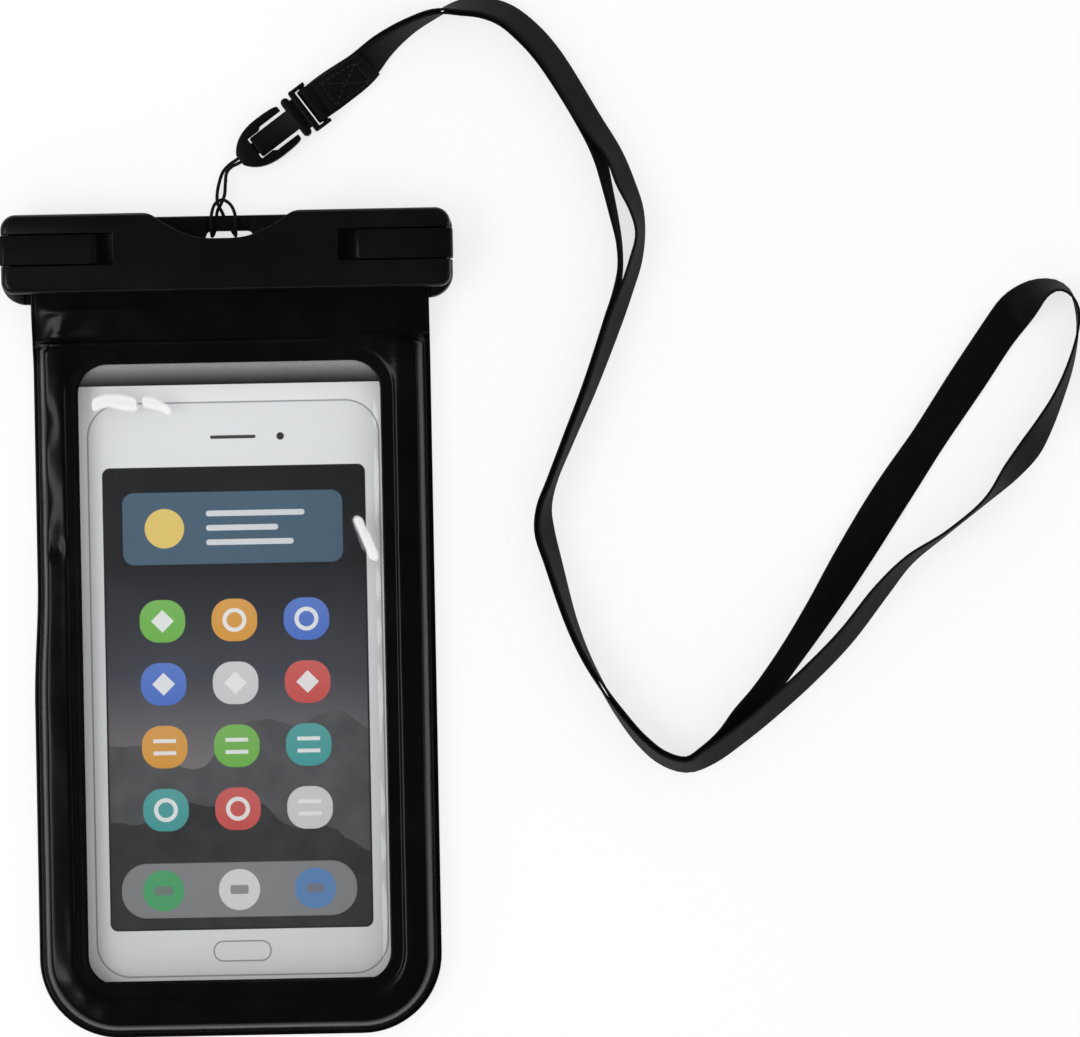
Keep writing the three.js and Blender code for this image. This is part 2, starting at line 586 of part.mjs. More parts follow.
function armOutline() {
  const half = ARM_SPREAD / 2;
  const inner = SLEEVE_HALF + SLIDE_GAP;
  const slotInner = inner + 0.7;
  const shape = new THREE.Shape();
  shape.moveTo(0, -1.5);
  shape.bezierCurveTo(1.5, -4, 4.5, -half, ARM_SLOT_START + 1, -half);
  shape.bezierCurveTo(12.5, -half, ARM_LENGTH, -half + 0.1, ARM_LENGTH, -half + 1);
  shape.lineTo(ARM_LENGTH, -slotInner);
  shape.lineTo(ARM_SLOT_START + 1, -slotInner);
  shape.lineTo(ARM_SLOT_START, -inner);
  shape.lineTo(TIP_LENGTH, -inner);
  shape.lineTo(TIP_LENGTH, inner);
  shape.lineTo(ARM_SLOT_START, inner);
  shape.lineTo(ARM_SLOT_START + 1, slotInner);
  shape.lineTo(ARM_LENGTH, slotInner);
  shape.lineTo(ARM_LENGTH, half - 1);
  shape.bezierCurveTo(ARM_LENGTH, half - 0.1, 12.5, half, ARM_SLOT_START + 1, half);
  shape.bezierCurveTo(4.5, half, 1.5, 4, 0, 1.5);
  return shape;
}

const STRING_SOCKET_DEPTH = 1.4;

function clipArmHalf() {
  let half = toSolid(plate(armOutline(), 0, CLIP_THICKNESS, CLIP_EDGE_ROUND / 2));
  half = half.add(boxSolid(TIP_LENGTH - 1, TIP_LENGTH + GUIDE_LENGTH, -GUIDE_WIDTH / 2,
    GUIDE_WIDTH / 2, CLIP_MID_Z - GUIDE_THICKNESS / 2, CLIP_MID_Z + GUIDE_THICKNESS / 2));
  const socket = STRING_DIAMETER + SEAM_GAP;
  half = half.subtract(boxSolid(-1, STRING_SOCKET_DEPTH, -socket, socket,
    CLIP_MID_Z - socket / 2 - 0.1, CLIP_MID_Z + socket / 2 + 0.1));
  return toGeometry(half);
}

const FRAME_START = COLLAR_START + COLLAR_LENGTH + FRAME_NECK_LENGTH;
const FRAME_BODY_END = FRAME_START + FRAME_BODY_LENGTH;
const STRAP_LOOP_RADIUS = STRAP_BAR_RADIUS + SLIDE_GAP + STRAP_THICKNESS / 2;
const STRAP_BAR_Z = STRAP_FLOOR_GAP + STRAP_THICKNESS / 2 + STRAP_LOOP_RADIUS;
const STRAP_BAR_A = FRAME_BODY_END + SLIDE_GAP + STRAP_THICKNESS / 2 + STRAP_LOOP_RADIUS;
const CHEEK_INNER = STRAP_WIDTH / 2 + SLIDE_GAP;

function clipSleeveHalf() {
  const edge = CLIP_EDGE_ROUND / 2;
  const block = (a0, a1, width, inset, round = edge) => toSolid(plate(
    roundedRect(a0, a1, -width / 2, width / 2, 2 * round), inset, CLIP_THICKNESS - inset, round, 4));
  let half = block(SLEEVE_START, COLLAR_START + 1, SLEEVE_WIDTH, 0.1);
  half = half.add(block(COLLAR_START, COLLAR_START + COLLAR_LENGTH, COLLAR_WIDTH, 0, CLIP_EDGE_ROUND));
  half = half.add(block(COLLAR_START + 1, FRAME_START + 1, FRAME_NECK_WIDTH, 0.5));
  const cheekOuter = CHEEK_INNER + FRAME_CHEEK;
  half = half.add(block(FRAME_START, FRAME_BODY_END, 2 * cheekOuter, 0.2));
  for (const side of [-1, 1]) {
    const y = [side * CHEEK_INNER, side * cheekOuter].sort((a, b) => a - b);
    const cheek = roundedRect(FRAME_BODY_END - 1, STRAP_BAR_A + STRAP_BAR_RADIUS + 0.4, ...y, 0.2);
    half = half.add(toSolid(plate(cheek, STRAP_BAR_Z - 1.4, STRAP_BAR_Z + 1.4, 0, 2)));
  }
  half = half.add(toSolid(rodAlongY(STRAP_BAR_RADIUS, STRAP_BAR_A, STRAP_BAR_Z,
    -CHEEK_INNER - FRAME_CHEEK / 2, CHEEK_INNER + FRAME_CHEEK / 2, 12)));
  const channel = [GUIDE_WIDTH / 2 + SLIDE_GAP, GUIDE_THICKNESS / 2 + SLIDE_GAP];
  half = half.subtract(boxSolid(0, TIP_LENGTH + GUIDE_LENGTH + SLIDE_GAP, -channel[0], channel[0],
    CLIP_MID_Z - channel[1], CLIP_MID_Z + channel[1]));
  return toGeometry(half);
}

// A point of the clip's own frame, in the pouch's frame.
function clipPoint(along, across, z) {
  return new THREE.Vector3(along, across, z)
    .applyAxisAngle(new THREE.Vector3(0, 0, 1), CLIP_ANGLE).add(CLIP_TIP);
}

// String route: two ends in the clip, hitched round the rail of the rear bar. x, y, z.
function stringLoop() {
  const under = (REAR_BAR_HEIGHT - RAIL_HEIGHT) / 2 - SEAM_GAP - STRING_RADIUS;
  const over = REAR_BAR_HEIGHT - under;
  const apart = STRING_RADIUS + 0.18;
  const ends = [1, -1].map((side) => clipPoint(STRING_SOCKET_DEPTH - SEAM_GAP, side * apart, CLIP_MID_Z));
  const route = [
    [2.8, 122.3, 2.1], [1.1, 121.2, 1.7], [-0.7, 119.3, 1.5], [-1.8, 116.4, 1.3],
    [-2.4, 113.3, 1.1], [-2.3, 110.9, 1], [-1.3, 108.9, under], [-0.5, 107, under],
    [0.3, 105.3, under], [1.6, 103.4, under + 0.2], [2.4, 102.3, 3.45],
    [2.5, 103.5, over], [2.5, 105.6, over + 0.2], [2.3, 108.2, over - 0.1], [1.1, 110.6, 5.2],
    [-0.9, 111.8, 4.6], [-2.7, 110.9, 5], [-3.7, 108.4, over - 0.1], [-3.9, 105.6, over + 0.2],
    [-3.9, 103.5, over], [-3.8, 102.3, 3.45], [-3.3, 103.4, under + 0.2], [-2.7, 105.6, under],
    [-2.6, 108.2, 1.1], [-2.1, 109.6, 1.9], [-1.2, 111.1, 2.5], [-0.4, 113.2, 2.4],
    [-0.1, 116.4, 2.4], [0.3, 119, 2.6], [1.6, 120.5, 2.7], [3.4, 121.4, 2.4],
  ].map((point) => new THREE.Vector3(...point));
  const path = new THREE.CatmullRomCurve3([ends[0], ...route, ends[1]], false, 'centripetal');
  const section = new THREE.Shape().absarc(0, 0, STRING_RADIUS, 0, 2 * Math.PI);
  return new THREE.ExtrudeGeometry(section, { steps: 78, extrudePath: path, curveSegments: 4 });
}

// Strap route as it lies: x, y and the tilt of its width from flat, in degrees.
const SHARED_NEAR = [
  [29.7, 141.1, 20], [35.9, 145.5, 38], [42.3, 151.7, 60], [49.3, 156.6, 76], [56.2, 159.8, 88],
  [62.6, 161.1, 110], [68.6, 161, 119], [74.4, 159, 124], [80.1, 154.4, 127], [85.8, 147.7, 127],
  [96.3, 130.1, 126],
];
const APART_RIGHT = [
  [102.3, 121.8, 118], [105.2, 114.4, 119], [108, 107.2, 111], [108.9, 100.6, 103],
  [107.5, 93.5, 108], [105.2, 86.7, 109],
];
const APART_LEFT = [
  [98.7, 121, 110], [100.7, 112.1, 104], [102.1, 105.4, 101], [103.3, 98.6, 97], [103.5, 92, 96],
  [102.6, 86.4, 99],
];
const SHARED_FAR = [
  [101.9, 79.6, 112], [95, 61.2, 105], [88.9, 46.9, 100], [84.2, 35.6, 98], [82.2, 29, 106],
  [82.2, 23, 114], [84.3, 14.7, 110], [88.8, -1.2, 101], [92.5, -10.5, 96], [96.9, -18.7, 90],
  [101.2, -25.4, 84], [106.6, -32.4, 79], [112.3, -37.3, 75], [118.6, -39.2, 71],
  [124.2, -36.7, 62],
];
const WIDE_LOOP = [
  [129.1, -32.3, 56], [133.6, -27.1, 50], [138.8, -21.1, 51], [146.9, -10.2, 48],
  [154.8, 1.3, 37], [162.8, 13.8, 20], [172.9, 29.4, 8], [183.6, 45, 24], [194.4, 60.7, 14],
  [204.8, 75.5, 10], [209.9, 81.2, -28], [214.2, 84.3, -57], [218.4, 85, -74],
  [221.7, 83.1, -83], [223.6, 78.6, -90], [223.6, 73.3, -87], [221.7, 64.9, -80],
  [218.1, 55.7, -72], [214, 47.9, -60], [210.5, 42.4, -53], [205.3, 36.2, -61],
  [198.6, 28.9, -82], [187.9, 20.4, -85], [178, 13.5, -75], [170.7, 5.7, -65],
  [161, -6.3, -62], [151.5, -15.8, -61], [142.4, -23.8, -61], [133.3, -31.1, -62],
];

// Evenly spaced stations on a smooth curve through a route of x, y, tilt and layer.
function smoothRoute(route) {
  const places = new THREE.CatmullRomCurve3(
    route.map(({ x, y, layer }) => new THREE.Vector3(x, y, layer)), false, 'centripetal');
  const count = Math.round(places.getLength() / STRAP_STEP);
  return Array.from({ length: count + 1 }, (_, i) => {
    const share = places.getUtoTmapping(i / count);
    const { x, y, z } = places.getPoint(share);
    const span = Math.min(Math.floor(share * (route.length - 1)), route.length - 2);
    const part = share * (route.length - 1) - span;
    const tilt = lerp(route[span].tilt, route[span + 1].tilt, smoothstep(part, 0, 1));
    return { x, y, tilt, layer: z };
  });
}

// Stations of the strap: place, width direction and face direction.
function strapStations() {
  const ply = (STRAP_THICKNESS + STRAP_PLY_GAP) / 2;
  const outward = (points, layer) => points.map(([x, y, tilt]) => ({ x, y, tilt, layer }));
  const homeward = (points, layer) => points.map(([x, y, tilt]) => ({ x, y, tilt: -tilt, layer }))
    .reverse();
  const [barX, barY] = clipPoint(STRAP_BAR_A, 0, 0).toArray();
  const atBar = { x: barX, y: barY, tilt: 0 };
  const spread = [STRAP_LOOP_RADIUS, 1.25 * ply];
  const route = smoothRoute([
    { ...atBar, layer: -spread[0] }, ...outward(SHARED_NEAR.slice(0, 1), -spread[1]),
    ...outward(SHARED_NEAR.slice(1), -ply), ...outward(APART_RIGHT, 0), ...outward(SHARED_FAR, -ply),
    ...outward(WIDE_LOOP, 0), ...homeward(SHARED_FAR, ply), ...homeward(APART_LEFT, 0),
    ...homeward(SHARED_NEAR.slice(1), ply), ...homeward(SHARED_NEAR.slice(0, 1), spread[1]),
    { ...atBar, layer: spread[0] },
  ]);
  const up = new THREE.Vector3(0, 0, 1);
  const stations = route.map(({ x, y, tilt, layer }, i) => {
    const a = route[Math.max(i - 1, 0)];
    const b = route[Math.min(i + 1, route.length - 1)];
    const tangent = new THREE.Vector3(b.x - a.x, b.y - a.y, 0);
    if (i === 0 || i === route.length - 1) {
      tangent.set(Math.cos(CLIP_ANGLE), Math.sin(CLIP_ANGLE), 0).multiplyScalar(i === 0 ? 1 : -1);
    }
    const angle = THREE.MathUtils.degToRad(tilt);
    const left = new THREE.Vector3().crossVectors(up, tangent.normalize());
    const width = left.clone().multiplyScalar(Math.cos(angle)).addScaledVector(up, Math.sin(angle));
    const face = new THREE.Vector3().crossVectors(tangent, width);
    const lean = Math.abs(Math.sin(angle)) * STRAP_WIDTH / 2;
    const flat = Math.abs(Math.cos(angle)) * (STRAP_THICKNESS / 2 + Math.abs(layer));
    const place = new THREE.Vector3(x, y, STRAP_FLOOR_GAP + lean + flat).addScaledVector(face, layer);
    return { place, width, face };
  });
  return [...stations, ...barTurn(barX, barY, stations.at(-1).width)];
}

// The strap's turn round the clip's bar, from the upper ply down to the lower one.
function barTurn(barX, barY, width) {
  const axis = new THREE.Vector3(Math.cos(CLIP_ANGLE), Math.sin(CLIP_ANGLE), 0);
  return [36, 72, 108, 144].map((degrees) => {
    const angle = THREE.MathUtils.degToRad(90 + degrees);
    const face = axis.clone().multiplyScalar(Math.cos(angle))
      .addScaledVector(new THREE.Vector3(0, 0, 1), Math.sin(angle));
    const place = new THREE.Vector3(barX, barY, STRAP_BAR_Z).addScaledVector(face, STRAP_LOOP_RADIUS);
    return { place, width: width.clone(), face };
  });
}

// One closed band. The section looks the same turned by half, so the ring closes on a half turn.
function lanyardStrap() {
  const w = STRAP_WIDTH / 2;
  const t = STRAP_THICKNESS / 2;
  const c = STRAP_EDGE_CHAMFER;
  const section = [[w, -t + c], [w, t - c], [w - c, t], [-w + c, t], [-w, t - c], [-w, -t + c],
    [-w + c, -t], [w - c, -t]];
  const stations = strapStations();
  const sides = section.length;
  const positions = stations.flatMap(({ place, width, face }) => section.flatMap(([u, v]) =>
    place.clone().addScaledVector(width, u).addScaledVector(face, v).toArray()));
  const index = [];
  stations.forEach((_, i) => {
    const last = i === stations.length - 1;
    const shift = last ? sides / 2 : 0;
    const next = last ? 0 : i + 1;
    for (let k = 0; k < sides; k += 1) {
      const a = i * sides + k;
      const b = i * sides + (k + 1) % sides;
      const c0 = next * sides + (k + shift) % sides;
      const d0 = next * sides + (k + 1 + shift) % sides;
      // Both faces are split along one line, so that a twist keeps the strap's thickness.
      if (k < sides / 2) index.push(a, d0, c0, a, b, d0);
      else index.push(a, b, c0, b, d0, c0);
    }
  });
  const geometry = new THREE.BufferGeometry();
  geometry.setAttribute('position', new THREE.BufferAttribute(new Float32Array(positions), 3));
  geometry.setIndex(index);
  geometry.computeVertexNormals();
  return geometry;
}

// Materials and the assembly
const blackPlastic = { color: 0x141415, roughness: 0.38, metalness: 0 };
const blackFilm = { color: 0x08080a, roughness: 0.16, metalness: 0 };
const clearFilm = { color: 0xf2f4f5, roughness: 0.08, metalness: 0, transparent: true, opacity: 0.25 };
const whiteCard = { color: 0xe9eaec, roughness: 0.6, metalness: 0 };
const steel = { color: 0xb4b6b8, roughness: 0.35, metalness: 1 };
const blackCord = { color: 0x0d0f0f, roughness: 0.75, metalness: 0 };

function piece(name, geometry, finish) {
  const mesh = new THREE.Mesh(geometry, new THREE.MeshStandardMaterial(finish));
  mesh.name = name;
  return mesh;
}

const pouch = new THREE.Group();
pouch.add(
  piece('back_film', backFilm(), blackFilm),
  piece('front_frame', frontFrame(), blackFilm),
  piece('window_film', windowFilm(), clearFilm),
  piece('display_card', displayCard(), whiteCard),
);

const clampGroup = new THREE.Group();
clampGroup.add(
  piece('rear_clamp_bar', rearClampBar(), blackPlastic),
  piece('front_clamp_bar', frontClampBar(), blackPlastic),
  piece('latch_left', mirrorX(latchRight()), blackPlastic),
  piece('latch_right', latchRight(), blackPlastic),
  piece('latch_pin_left', latchPin(-1), steel),
  piece('latch_pin_right', latchPin(1), steel),
);
pouch.add(clampGroup);

const clip = new THREE.Group();
clip.add(
  piece('clip_arm_half', clipArmHalf(), blackPlastic),
  piece('clip_sleeve_half', clipSleeveHalf(), blackPlastic),
);
clip.position.copy(CLIP_TIP);
clip.rotation.z = CLIP_ANGLE;
pouch.add(clip);

pouch.add(
  piece('clip_string', stringLoop(), blackCord),
  piece('lanyard_strap', lanyardStrap(), blackCord),
);

export default pouch;
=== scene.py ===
import logging
import math
from dataclasses import dataclass
from enum import Enum
from typing import Any, Callable, Sequence

import bmesh
import bpy
from mathutils import Euler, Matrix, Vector, noise


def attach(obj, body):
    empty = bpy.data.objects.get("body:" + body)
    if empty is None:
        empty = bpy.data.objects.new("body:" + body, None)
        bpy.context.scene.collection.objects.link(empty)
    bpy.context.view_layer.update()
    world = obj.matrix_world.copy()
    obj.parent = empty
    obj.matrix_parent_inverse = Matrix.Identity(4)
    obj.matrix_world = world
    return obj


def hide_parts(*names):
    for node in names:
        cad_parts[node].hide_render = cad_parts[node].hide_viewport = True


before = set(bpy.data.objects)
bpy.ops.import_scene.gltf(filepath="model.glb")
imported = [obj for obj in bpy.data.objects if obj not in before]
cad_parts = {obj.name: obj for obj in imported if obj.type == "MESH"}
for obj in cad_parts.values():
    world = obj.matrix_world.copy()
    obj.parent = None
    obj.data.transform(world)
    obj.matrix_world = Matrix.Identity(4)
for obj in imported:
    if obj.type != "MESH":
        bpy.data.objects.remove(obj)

LOG = logging.getLogger("phone_pouch")
MM = 0.001
UP = Vector((0.0, 0.0, 1.0))
WHITE = (1.0, 1.0, 1.0)
Pair = tuple[float, float]
Point = tuple[float, float, float]
Patch = tuple[Pair, Pair, float]
Place = Callable[[int, int], Vector]
Carried = dict[str, Callable[[int, int], float]]
FLAT_ANGLE = math.radians(1.0)
SHARP_ANGLE = math.radians(38.0)
SHADED_ANGLE = math.radians(32.0)


class Body(Enum):
    """The CAD bodies that a piece may ride on."""

    POUCH = "pouch"
    LATCH_LEFT = "latch_left"
    LATCH_RIGHT = "latch_right"
    LANYARD = "lanyard"


class Slot(Enum):
    """The record's material slots of the new pieces."""

    BLACK_FILM = "black_film"
    CLEAR_FILM = "clear_film"
    PLASTIC = "black_plastic"
    CORD = "cord_black"
    STRAP = "strap_black"


# Shader maths


class Signal:
    """A shader socket that takes part in Python sums."""

    def __init__(self, shader: "Shader", socket: bpy.types.NodeSocket) -> None:
        """Wraps one output socket.

        Args:
            shader: the tree that the socket belongs to.
            socket: the output socket.
        """
        self.shader = shader
        self.socket = socket

    def __add__(self, other: Any) -> "Signal":
        """self + other."""
        return self.shader.maths("ADD", self, other)

    __radd__ = __add__

    def __sub__(self, other: Any) -> "Signal":
        """self - other."""
        return self.shader.maths("SUBTRACT", self, other)

    def __rsub__(self, other: Any) -> "Signal":
        """other - self."""
        return self.shader.maths("SUBTRACT", other, self)

    def __mul__(self, other: Any) -> "Signal":
        """self * other."""
        return self.shader.maths("MULTIPLY", self, other)

    __rmul__ = __mul__

    def __truediv__(self, other: Any) -> "Signal":
        """self / other."""
        return self.shader.maths("DIVIDE", self, other)

    def at_least(self, other: Any) -> "Signal":
        """The greater of the two."""
        return self.shader.maths("MAXIMUM", self, other)

    def at_most(self, other: Any) -> "Signal":
        """The lesser of the two."""
        return self.shader.maths("MINIMUM", self, other)

    def size(self) -> "Signal":
        """The value without its sign."""
        return self.shader.maths("ABSOLUTE", self)

    def sine(self) -> "Signal":
        """The sine of the value, in radians."""
        return self.shader.maths("SINE", self)

    def root(self) -> "Signal":
        """The square root."""
        return self.shader.maths("SQRT", self)

    def floor(self) -> "Signal":
        """The whole number below."""
        return self.shader.maths("FLOOR", self)

    def fraction(self) -> "Signal":
        """What is left above the whole number below."""
        return self.shader.maths("FRACT", self)

    def within(self) -> "Signal":
        """The value held between 0 and 1."""
        return self.shader.maths("ADD", self, 0.0, clamp=True)

    def step(self, low: float, high: float) -> "Signal":
        """A soft step from 0 at low to 1 at high."""
        return ((self - low) / (high - low)).within()


class Shader:
    """The node tree of one material, or of the world."""

    def __init__(self, name: str, world: bool = False) -> None:
        """Starts an empty tree.

        Args:
            name: the material's or the world's name.
            world: whether the tree is the world's.
        """
        self.owner = (bpy.data.worlds if world else bpy.data.materials).new(name)
        self.output = "ShaderNodeOutputWorld" if world else "ShaderNodeOutputMaterial"
        self.owner.use_nodes = True
        self.tree = self.owner.node_tree
        self.tree.nodes.clear()

    def node(self, kind: str, settings: dict[str, Any] | None = None,
             feeds: dict[Any, Any] | None = None) -> bpy.types.Node:
        """Adds one node.

        Args:
            kind: the node's type.
            settings: its own settings, set before its sockets; stops are a ramp's.
            feeds: values or links of its input sockets, by name or number.

        Returns:
            The node.
        """
        made = self.tree.nodes.new(kind)
        for key, value in (settings or {}).items():
            if key == "stops":
                ramp = made.color_ramp
                while len(ramp.elements) < len(value):
                    ramp.elements.new(1.0)
                for element, (place, colour) in zip(ramp.elements, value):
                    element.position = place
                    element.color = (*colour, 1.0)
            elif key == "interpolation":
                made.color_ramp.interpolation = value
            else:
                setattr(made, key, value)
        for key, value in (feeds or {}).items():
            self.feed(made.inputs[key], value)
        return made

    def feed(self, socket: bpy.types.NodeSocket, value: Any) -> None:
        """Sets a socket or links it.

        Args:
            socket: the input socket.
            value: a number, a tuple, a Signal or an output socket.
        """
        if isinstance(value, Signal):
            self.tree.links.new(value.socket, socket)
        elif isinstance(value, bpy.types.NodeSocket):
            self.tree.links.new(value, socket)
        elif socket.type == "RGBA" and len(value) == 3:
            socket.default_value = (*value, 1.0)
        else:
            socket.default_value = value

    def maths(self, operation: str, *values: Any, clamp: bool = False) -> Signal:
        """One Math node on up to three values.

        Args:
            operation: the node's operation.
            values: its inputs.
            clamp: whether the result is held between 0 and 1.

        Returns:
            The result.
        """
        made = self.node("ShaderNodeMath", {"operation": operation, "use_clamp": clamp},
                         dict(enumerate(values)))
        return Signal(self, made.outputs[0])

    def place(self, scale: Point = (1.0, 1.0, 1.0), turn: Point = (0.0, 0.0, 0.0)) -> Any:
        """The Object coordinates, scaled and turned.

        Args:
            scale: the scale on each axis.
            turn: the turn in radians.

        Returns:
            The vector socket.
        """
        source = self.node("ShaderNodeTexCoord").outputs["Object"]
        return self.node("ShaderNodeMapping", None,
                         {"Vector": source, "Scale": scale, "Rotation": turn}).outputs[0]

    def axes(self) -> tuple[Signal, Signal, Signal]:
        """The Object coordinates in millimetres, one value for each axis.

        Returns:
            The x, y and z values.
        """
        parts = self.node("ShaderNodeSeparateXYZ", None,
                          {0: self.place((1 / MM, 1 / MM, 1 / MM))})
        return tuple(Signal(self, parts.outputs[i]) for i in range(3))

    def attribute(self, name: str) -> Signal:
        """A value that the mesh carries at its points."""
        made = self.node("ShaderNodeAttribute", {"attribute_name": name})
        return Signal(self, made.outputs["Fac"])

    def speckle(self, scale: float, detail: float = 2.0, vector: Any = None) -> Signal:
        """Noise between 0 and 1, with features of 1 / scale metres.

        Args:
            scale: how fine the noise is.
            detail: how many finer layers it has.
            vector: its place, the Object coordinates where none is given.

        Returns:
            The noise.
        """
        made = self.node("ShaderNodeTexNoise", {"noise_dimensions": "3D"}, {
            "Vector": self.place() if vector is None else vector,
            "Scale": scale, "Detail": detail, "Roughness": 0.5})
        return Signal(self, made.outputs["Fac"])

    def combine(self, x: Any, y: Any) -> Any:
        """A vector of two values and 0."""
        return self.node("ShaderNodeCombineXYZ", None, {0: x, 1: y, 2: 0.0}).outputs[0]

    def blend(self, factor: Any, first: Any, second: Any) -> Any:
        """A colour between two colours."""
        return self.node("ShaderNodeMix", {"data_type": "RGBA"},
                         {0: factor, 6: first, 7: second}).outputs[2]

    def ramp(self, value: Any, stops: Sequence[tuple[float, Sequence[float]]],
             interpolation: str = "LINEAR") -> Any:
        """A colour read from a ramp.

        Args:
            value: where the ramp is read.
            stops: places and colours.
            interpolation: how it runs from stop to stop.

        Returns:
            The colour socket.
        """
        return self.node("ShaderNodeValToRGB",
                         {"stops": stops, "interpolation": interpolation},
                         {0: value}).outputs[0]

    def bump(self, height: Signal, depth: float, strength: float = 1.0,
             base: Any = None) -> Any:
        """A normal that follows a height; depth is in metres.

        Args:
            height: the height, 0 to 1.
            depth: metres at a height of 1.
            strength: share of the bump that is shown.
            base: a normal that the bump is added to.

        Returns:
            The normal socket.
        """
        feeds = {"Height": height, "Distance": depth, "Strength": strength}
        if base is not None:
            feeds["Normal"] = base
        return self.node("ShaderNodeBump", None, feeds).outputs[0]

    def mixed(self, factor: Any, first: Any, second: Any) -> Any:
        """A surface between two surfaces."""
        return self.node("ShaderNodeMixShader", None,
                         {0: factor, 1: first, 2: second}).outputs[0]

    def principled(self, **feeds: Any) -> Any:
        """A Principled BSDF; names use underscores for spaces."""
        named = {key.replace("_", " "): value for key, value in feeds.items()}
        return self.node("ShaderNodeBsdfPrincipled", None, named).outputs[0]

    def finish(self, surface: Any) -> Any:
        """Links the surface to the output.

        Args:
            surface: the shader socket.

        Returns:
            The material or the world.
        """
        self.node(self.output, None, {"Surface": surface})
        return self.owner


# Finishes


@dataclass(frozen=True)
class MouldedPlastic:
    """Satin black plastic with a fine moulded grain and rubbed patches."""

    name: str = "moulded_plastic"
    base: Point = (0.0034, 0.0034, 0.0036)
    rubbed: Point = (0.0065, 0.0065, 0.0068)
    roughness: float = 0.28
    gloss: float = 0.22
    grain: float = 2600.0
    grain_depth: float = 0.000012

    def make(self) -> bpy.types.Material:
        """Builds the material.

        Returns:
            The material.
        """
        shader = Shader(self.name)
        patches = shader.speckle(38.0, 4.0)
        rub = patches.step(0.46, 0.72)
        colour = shader.blend(rub * 0.6, self.base, self.rubbed)
        scratches = shader.speckle(900.0, 3.0, shader.place((0.12, 1.0, 1.0), (0.0, 0.0, 0.35)))
        rough = rub * 0.07 + scratches * 0.08 + (self.roughness - 0.06)
        soft = shader.bump(shader.speckle(90.0, 2.0), 0.00006, 0.6)
        grain = shader.bump(shader.speckle(self.grain, 2.0), self.grain_depth, 0.8, soft)
        return shader.finish(shader.principled(
            Base_Color=colour, Roughness=rough, Normal=grain, Specular_IOR_Level=self.gloss))


@dataclass(frozen=True)
class SoftFilm:
    """Glossy black soft film with shallow waves and a fine skin."""

    name: str = "soft_black_film"
    base: Point = (0.0016, 0.0016, 0.0018)
    dusty: Point = (0.0045, 0.0045, 0.005)
    roughness: float = 0.24

    def make(self) -> bpy.types.Material:
        """Builds the material.

        Returns:
            The material.
        """
        shader = Shader(self.name)
        dust = shader.speckle(45.0, 5.0).step(0.5, 0.8)
        colour = shader.blend(dust * 0.5, self.base, self.dusty)
        rough = shader.speckle(120.0, 3.0) * 0.12 + (self.roughness - 0.05) + dust * 0.06
        wave = shader.bump(shader.speckle(55.0, 1.5), 0.0011, 0.35)
        skin = shader.bump(shader.speckle(700.0, 2.0), 0.00002, 0.6, wave)
        return shader.finish(shader.principled(
            Base_Color=colour, Roughness=rough, Normal=skin, Specular_IOR_Level=0.23,
            Coat_Weight=0.04, Coat_Roughness=0.1))


@dataclass(frozen=True)
class ClearFilm:
    """Clear soft film: mostly open, with a thin haze, a painted reflection that pales its top lip
    and painted glare along two creases.
    """

    name: str = "clear_film"
    haze: float = 0.002
    smear_haze: float = 0.006
    painted_lip_reflection: float = 0.2
    painted_glare: float = 0.8
    painted_glare_range: Pair = (0.42, 0.75)
    lip_range: Pair = (62.3, 68.9)
    index: float = 1.5

    def make(self) -> bpy.types.Material:
        """Builds the material.

        Returns:
            The material.
        """
        shader = Shader(self.name)
        _, y, _ = shader.axes()
        waves = shader.bump(shader.speckle(40.0, 1.5), 0.0012, 0.25)
        skin = shader.bump(shader.speckle(260.0, 2.0), 0.00008, 0.5, waves)
        smear = shader.speckle(30.0, 4.0, shader.place((1.0, 0.25, 1.0))).step(0.5, 0.85)
        # Painted reflection: the milky part pales the film towards its top lip.
        painted_reflection_mask = y.step(*self.lip_range)
        # Painted glare: the milky part turns near white along the two creases.
        painted_glare = shader.attribute("crease").step(*self.painted_glare_range)
        haze = (painted_reflection_mask * painted_reflection_mask * self.painted_lip_reflection + smear * self.smear_haze + painted_glare * self.painted_glare
                + self.haze).within()
        open_film = shader.node("ShaderNodeBsdfTransparent", None,
                                {"Color": (0.985, 0.988, 0.988)}).outputs[0]
        milk_and_painted_light = shader.node("ShaderNodeBsdfDiffuse", None, {
            "Color": (0.9, 0.905, 0.91), "Normal": skin}).outputs[0]
        gloss = shader.principled(Base_Color=(0.96, 0.96, 0.96), Metallic=1.0,
                                  Roughness=0.07, Normal=skin)
        edge = Signal(shader, shader.node("ShaderNodeFresnel", None,
                                          {"IOR": self.index, "Normal": skin}).outputs[0])
        inner = Signal(shader, shader.node("ShaderNodeNewGeometry").outputs["Backfacing"])
        return shader.finish(shader.mixed(
            edge * (1.0 - inner), shader.mixed(haze, open_film, milk_and_painted_light), gloss))


@dataclass(frozen=True)
class DrawnWire:
    """Bright wire with fine marks along it."""

    name: str = "drawn_wire"

    def make(self) -> bpy.types.Material:
        """Builds the material.

        Returns:
            The material.
        """
        shader = Shader(self.name)
        marks = shader.speckle(2200.0, 3.0, shader.place((1.0, 0.05, 1.0)))
        colour = shader.blend(marks, (0.52, 0.52, 0.53), (0.70, 0.70, 0.71))
        return shader.finish(shader.principled(
            Base_Color=colour, Metallic=1.0, Roughness=marks * 0.2 + 0.2,
            Normal=shader.bump(marks, 0.00001)))


